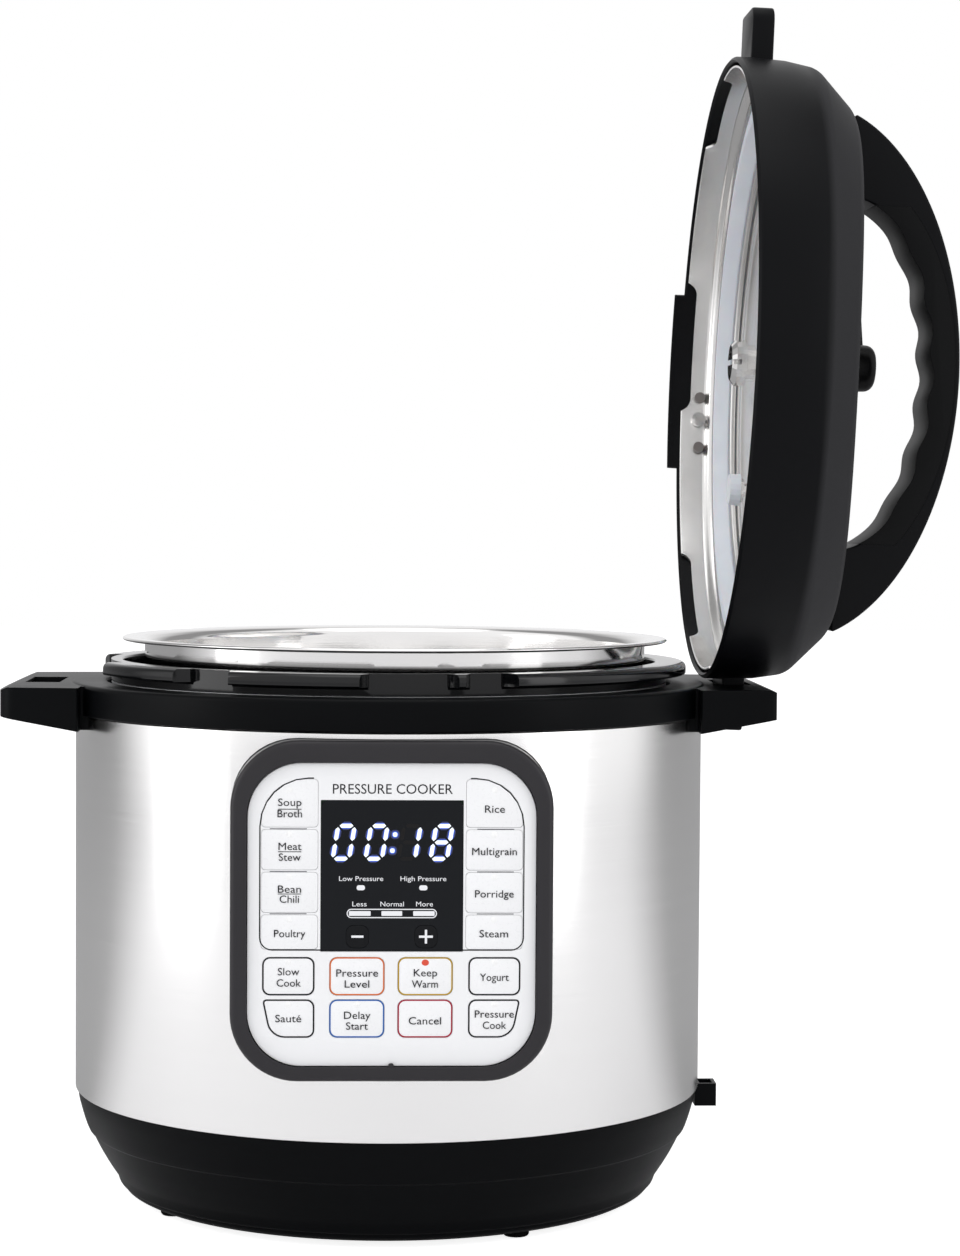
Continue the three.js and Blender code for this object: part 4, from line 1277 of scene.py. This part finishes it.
def off_layer(front):
    """The segments of the third digit that are not lit."""
    bars = [sheet(segment(kind, 6.9, 1.5), [], front - 0.02, front) for kind in "adefg"]
    return together(*bars)


glass_y = window_low.y
on_panel("digit_halos", digit_layer(3.3, glass_y, 0.015), digit_halo)
on_panel("digit_glows", digit_layer(2.25, glass_y - 0.02, 0.02), digit_glow)
on_panel("digit_cores", digit_layer(1.6, glass_y - 0.05, 0.03), digit_core)
on_panel("digit_ghost", off_layer(glass_y), digit_off)

# %% Lamps, level bars and words in the window
WINDOW_TYPE = 2.75
# word, width, middle, height of its foot above the panel's middle
WINDOW_WORDS = [
    ("Low Pressure", 17.5, -12.3, 12.2), ("High Pressure", 18.2, 12.4, 12.2),
    ("Less", 5.7, -12.9, 2.1), ("Normal", 9.3, 0.1, 2.1), ("More", 6.7, 12.9, 2.1),
]
# left, right, foot, top, corner radius
WINDOW_BARS = [
    (-14.0, -10.7, 8.5, 10.5, 0.9), (10.8, 14.1, 8.5, 10.5, 0.9),
    (-17.0, -8.4, -1.7, 0.2, 0.3), (-4.1, 4.1, -1.7, 0.2, 0.3), (8.5, 17.0, -1.7, 0.2, 0.3),
]
# The words and the level frame are print with a painted glow. The pressure lamps and level bars are
# lamps.
white = []
for text, width, x, foot in WINDOW_WORDS:
    white.append(words(text, width, x, panel_z + foot, glass_y, WINDOW_TYPE))
for left, right, foot, top, radius in WINDOW_BARS:
    white.append(bar(left, right, panel_z + foot, panel_z + top, glass_y, radius))
level_frame = corners(-17.9, 17.9, panel_z - 2.6, panel_z + 1.1)
white.append(line_ring(level_frame, even(1.8), glass_y, 0.4))
on_panel("window_print", together(*white), print_white)
minus_x, plus_x = middle("key_minus").x, middle("key_plus").x
minus = bar(minus_x - 2.4, minus_x + 2.4, panel_z - 10.4, panel_z - 9.5, label_y)
plus = together(
    bar(plus_x - 2.75, plus_x + 2.75, panel_z - 10.4, panel_z - 9.5, label_y),
    bar(plus_x - 0.45, plus_x + 0.45, panel_z - 12.7, panel_z - 7.2, label_y)
)
# The minus and plus signs are print with a painted glow.
finish_piece("sign_minus", minus, print_white, "minus_key")
finish_piece("sign_plus", plus, print_white, "plus_key")

# %% Plain materials on the sub-parts whose shape stays
KEPT = {
    "bottom_plate": plain_steel, "spoon_holder": satin_black, "power_board": circuit_board,
    "power_inlet": valve_black, "handle_liner_right": satin_black, "handle_liner_left": satin_black,
    "outer_pot": cast_aluminium, "heating_plate": cast_aluminium, "sensor_housing": valve_black,
    "sensor_spring": plain_steel, "sensor_cap": cast_aluminium, "display_module": window_dark,
    "control_board": circuit_board, "float_valve": pot_steel,
    "float_seal": milky_silicone, "steam_pipe": pot_steel, "anti_block_shield": pot_steel,
    "lock_pin": pot_steel, "guard_screw_upper": dark_steel, "guard_screw_lower": dark_steel,
    "condensation_collector": frosted_cup,
}
for name in nodes:
    if name.startswith("foot_"):
        KEPT[name] = foot_rubber
for name, material in KEPT.items():
    data = nodes[name].data
    data.materials.clear()
    data.materials.append(material)

# %% [markdown]
# ## Studio
#
# A pale floor and sky, one large soft light from each side in front and one above.

# %% Studio
def compass_levels(shader, direction, stops):
    """Brightness by the bearing of a direction: 0 is the front, -Y, and 1 is the back, +Y."""
    inputs = {0: direction, 1: (1.0, 1.0, 0.0)}
    level_only = shader.node("ShaderNodeVectorMath", {"operation": "MULTIPLY"}, inputs)
    compass = shader.node("ShaderNodeVectorMath", {"operation": "NORMALIZE"}, {0: level_only})
    northing = shader.node("ShaderNodeSeparateXYZ", {}, {0: compass}, output=1)
    levels = shader.node("ShaderNodeValToRGB", {}, {0: northing * 0.5 + 0.5})
    ramp = levels.socket.node.color_ramp
    while len(ramp.elements) < len(stops):
        ramp.elements.new(1.0)
    for element, (place, level) in zip(ramp.elements, stops):
        element.position = place
        element.color = (level, level, level * 1.01, 1.0)
    return levels


def studio_floor():
    bm = bmesh.new()
    bmesh.ops.create_grid(bm, x_segments=1, y_segments=1, size=6)
    floor = as_object(bm, "floor")
    floor.location.z = min(low(name).z for name in nodes) * MM - 0.0002
    finish = Finish("floor_paper")
    tone = compass_levels(finish, finish.place(), FLOOR)
    seen = finish.node("ShaderNodeLightPath")
    floor.data.materials.append(finish.set(
        Base_Color=tone, Roughness=0.9,
        Emission_Color=(1.0, 1.0, 1.0), Emission_Strength=seen * FLOOR_GLOW
    ))


def softbox(name, place, aim, size, power):
    data = bpy.data.lights.new(name, "AREA")
    data.shape = "RECTANGLE"
    data.size, data.size_y = size
    data.energy = power
    light = bpy.data.objects.new(name, data)
    bpy.context.scene.collection.objects.link(light)
    light.location = place
    direction = Vector(aim) - Vector(place)
    light.rotation_euler = direction.to_track_quat("-Z", "Y").to_euler()


# A grey card stands behind each side: the world darkens where +Y begins.
SKY = [(0.0, 0.84), (0.25, 0.90), (0.58, 0.94), (0.72, 0.27), (0.88, 0.27), (1.0, 0.80)]
SKY_LIGHT = 1.12
BACKDROP = 1.0
FLOOR_GLOW = 0.85
FLOOR = [(0.0, 0.90), (0.50, 0.90), (0.70, 0.38), (1.0, 0.38)]


def studio_sky():
    """Lights the part by its bearing, with plain white where the camera looks past it."""
    world = bpy.data.worlds.new("studio_sky")
    world.use_nodes = True
    shader = Shader(world.node_tree)
    shader.tree.nodes.remove(shader.tree.nodes["Background"])
    direction = shader.node("ShaderNodeTexCoord")
    levels = compass_levels(shader, direction, SKY)
    light = shader.node("ShaderNodeBackground", {}, {0: levels, 1: SKY_LIGHT})
    backdrop = shader.node("ShaderNodeBackground", {}, {0: (1.0, 1.0, 1.0), 1: BACKDROP})
    seen = shader.node("ShaderNodeLightPath")
    both = shader.node("ShaderNodeMixShader", {}, {0: seen, 1: light, 2: backdrop})
    shader.feed(shader.tree.nodes["World Output"].inputs[0], both)
    bpy.context.scene.world = world


bpy.context.scene.view_settings.view_transform = "Standard"
studio_sky()
studio_floor()
softbox("key_left", (-1.55, -0.42, 0.5), (0, 0, 0.15), (0.7, 1.4), 5)
softbox("key_right", (1.5, -0.9, 0.6), (0, 0, 0.2), (0.5, 1.4), 3)
softbox("top", (0, -0.1, 1.9), (0, 0, 0.2), (1.2, 1.2), 4)
print("studio ready")
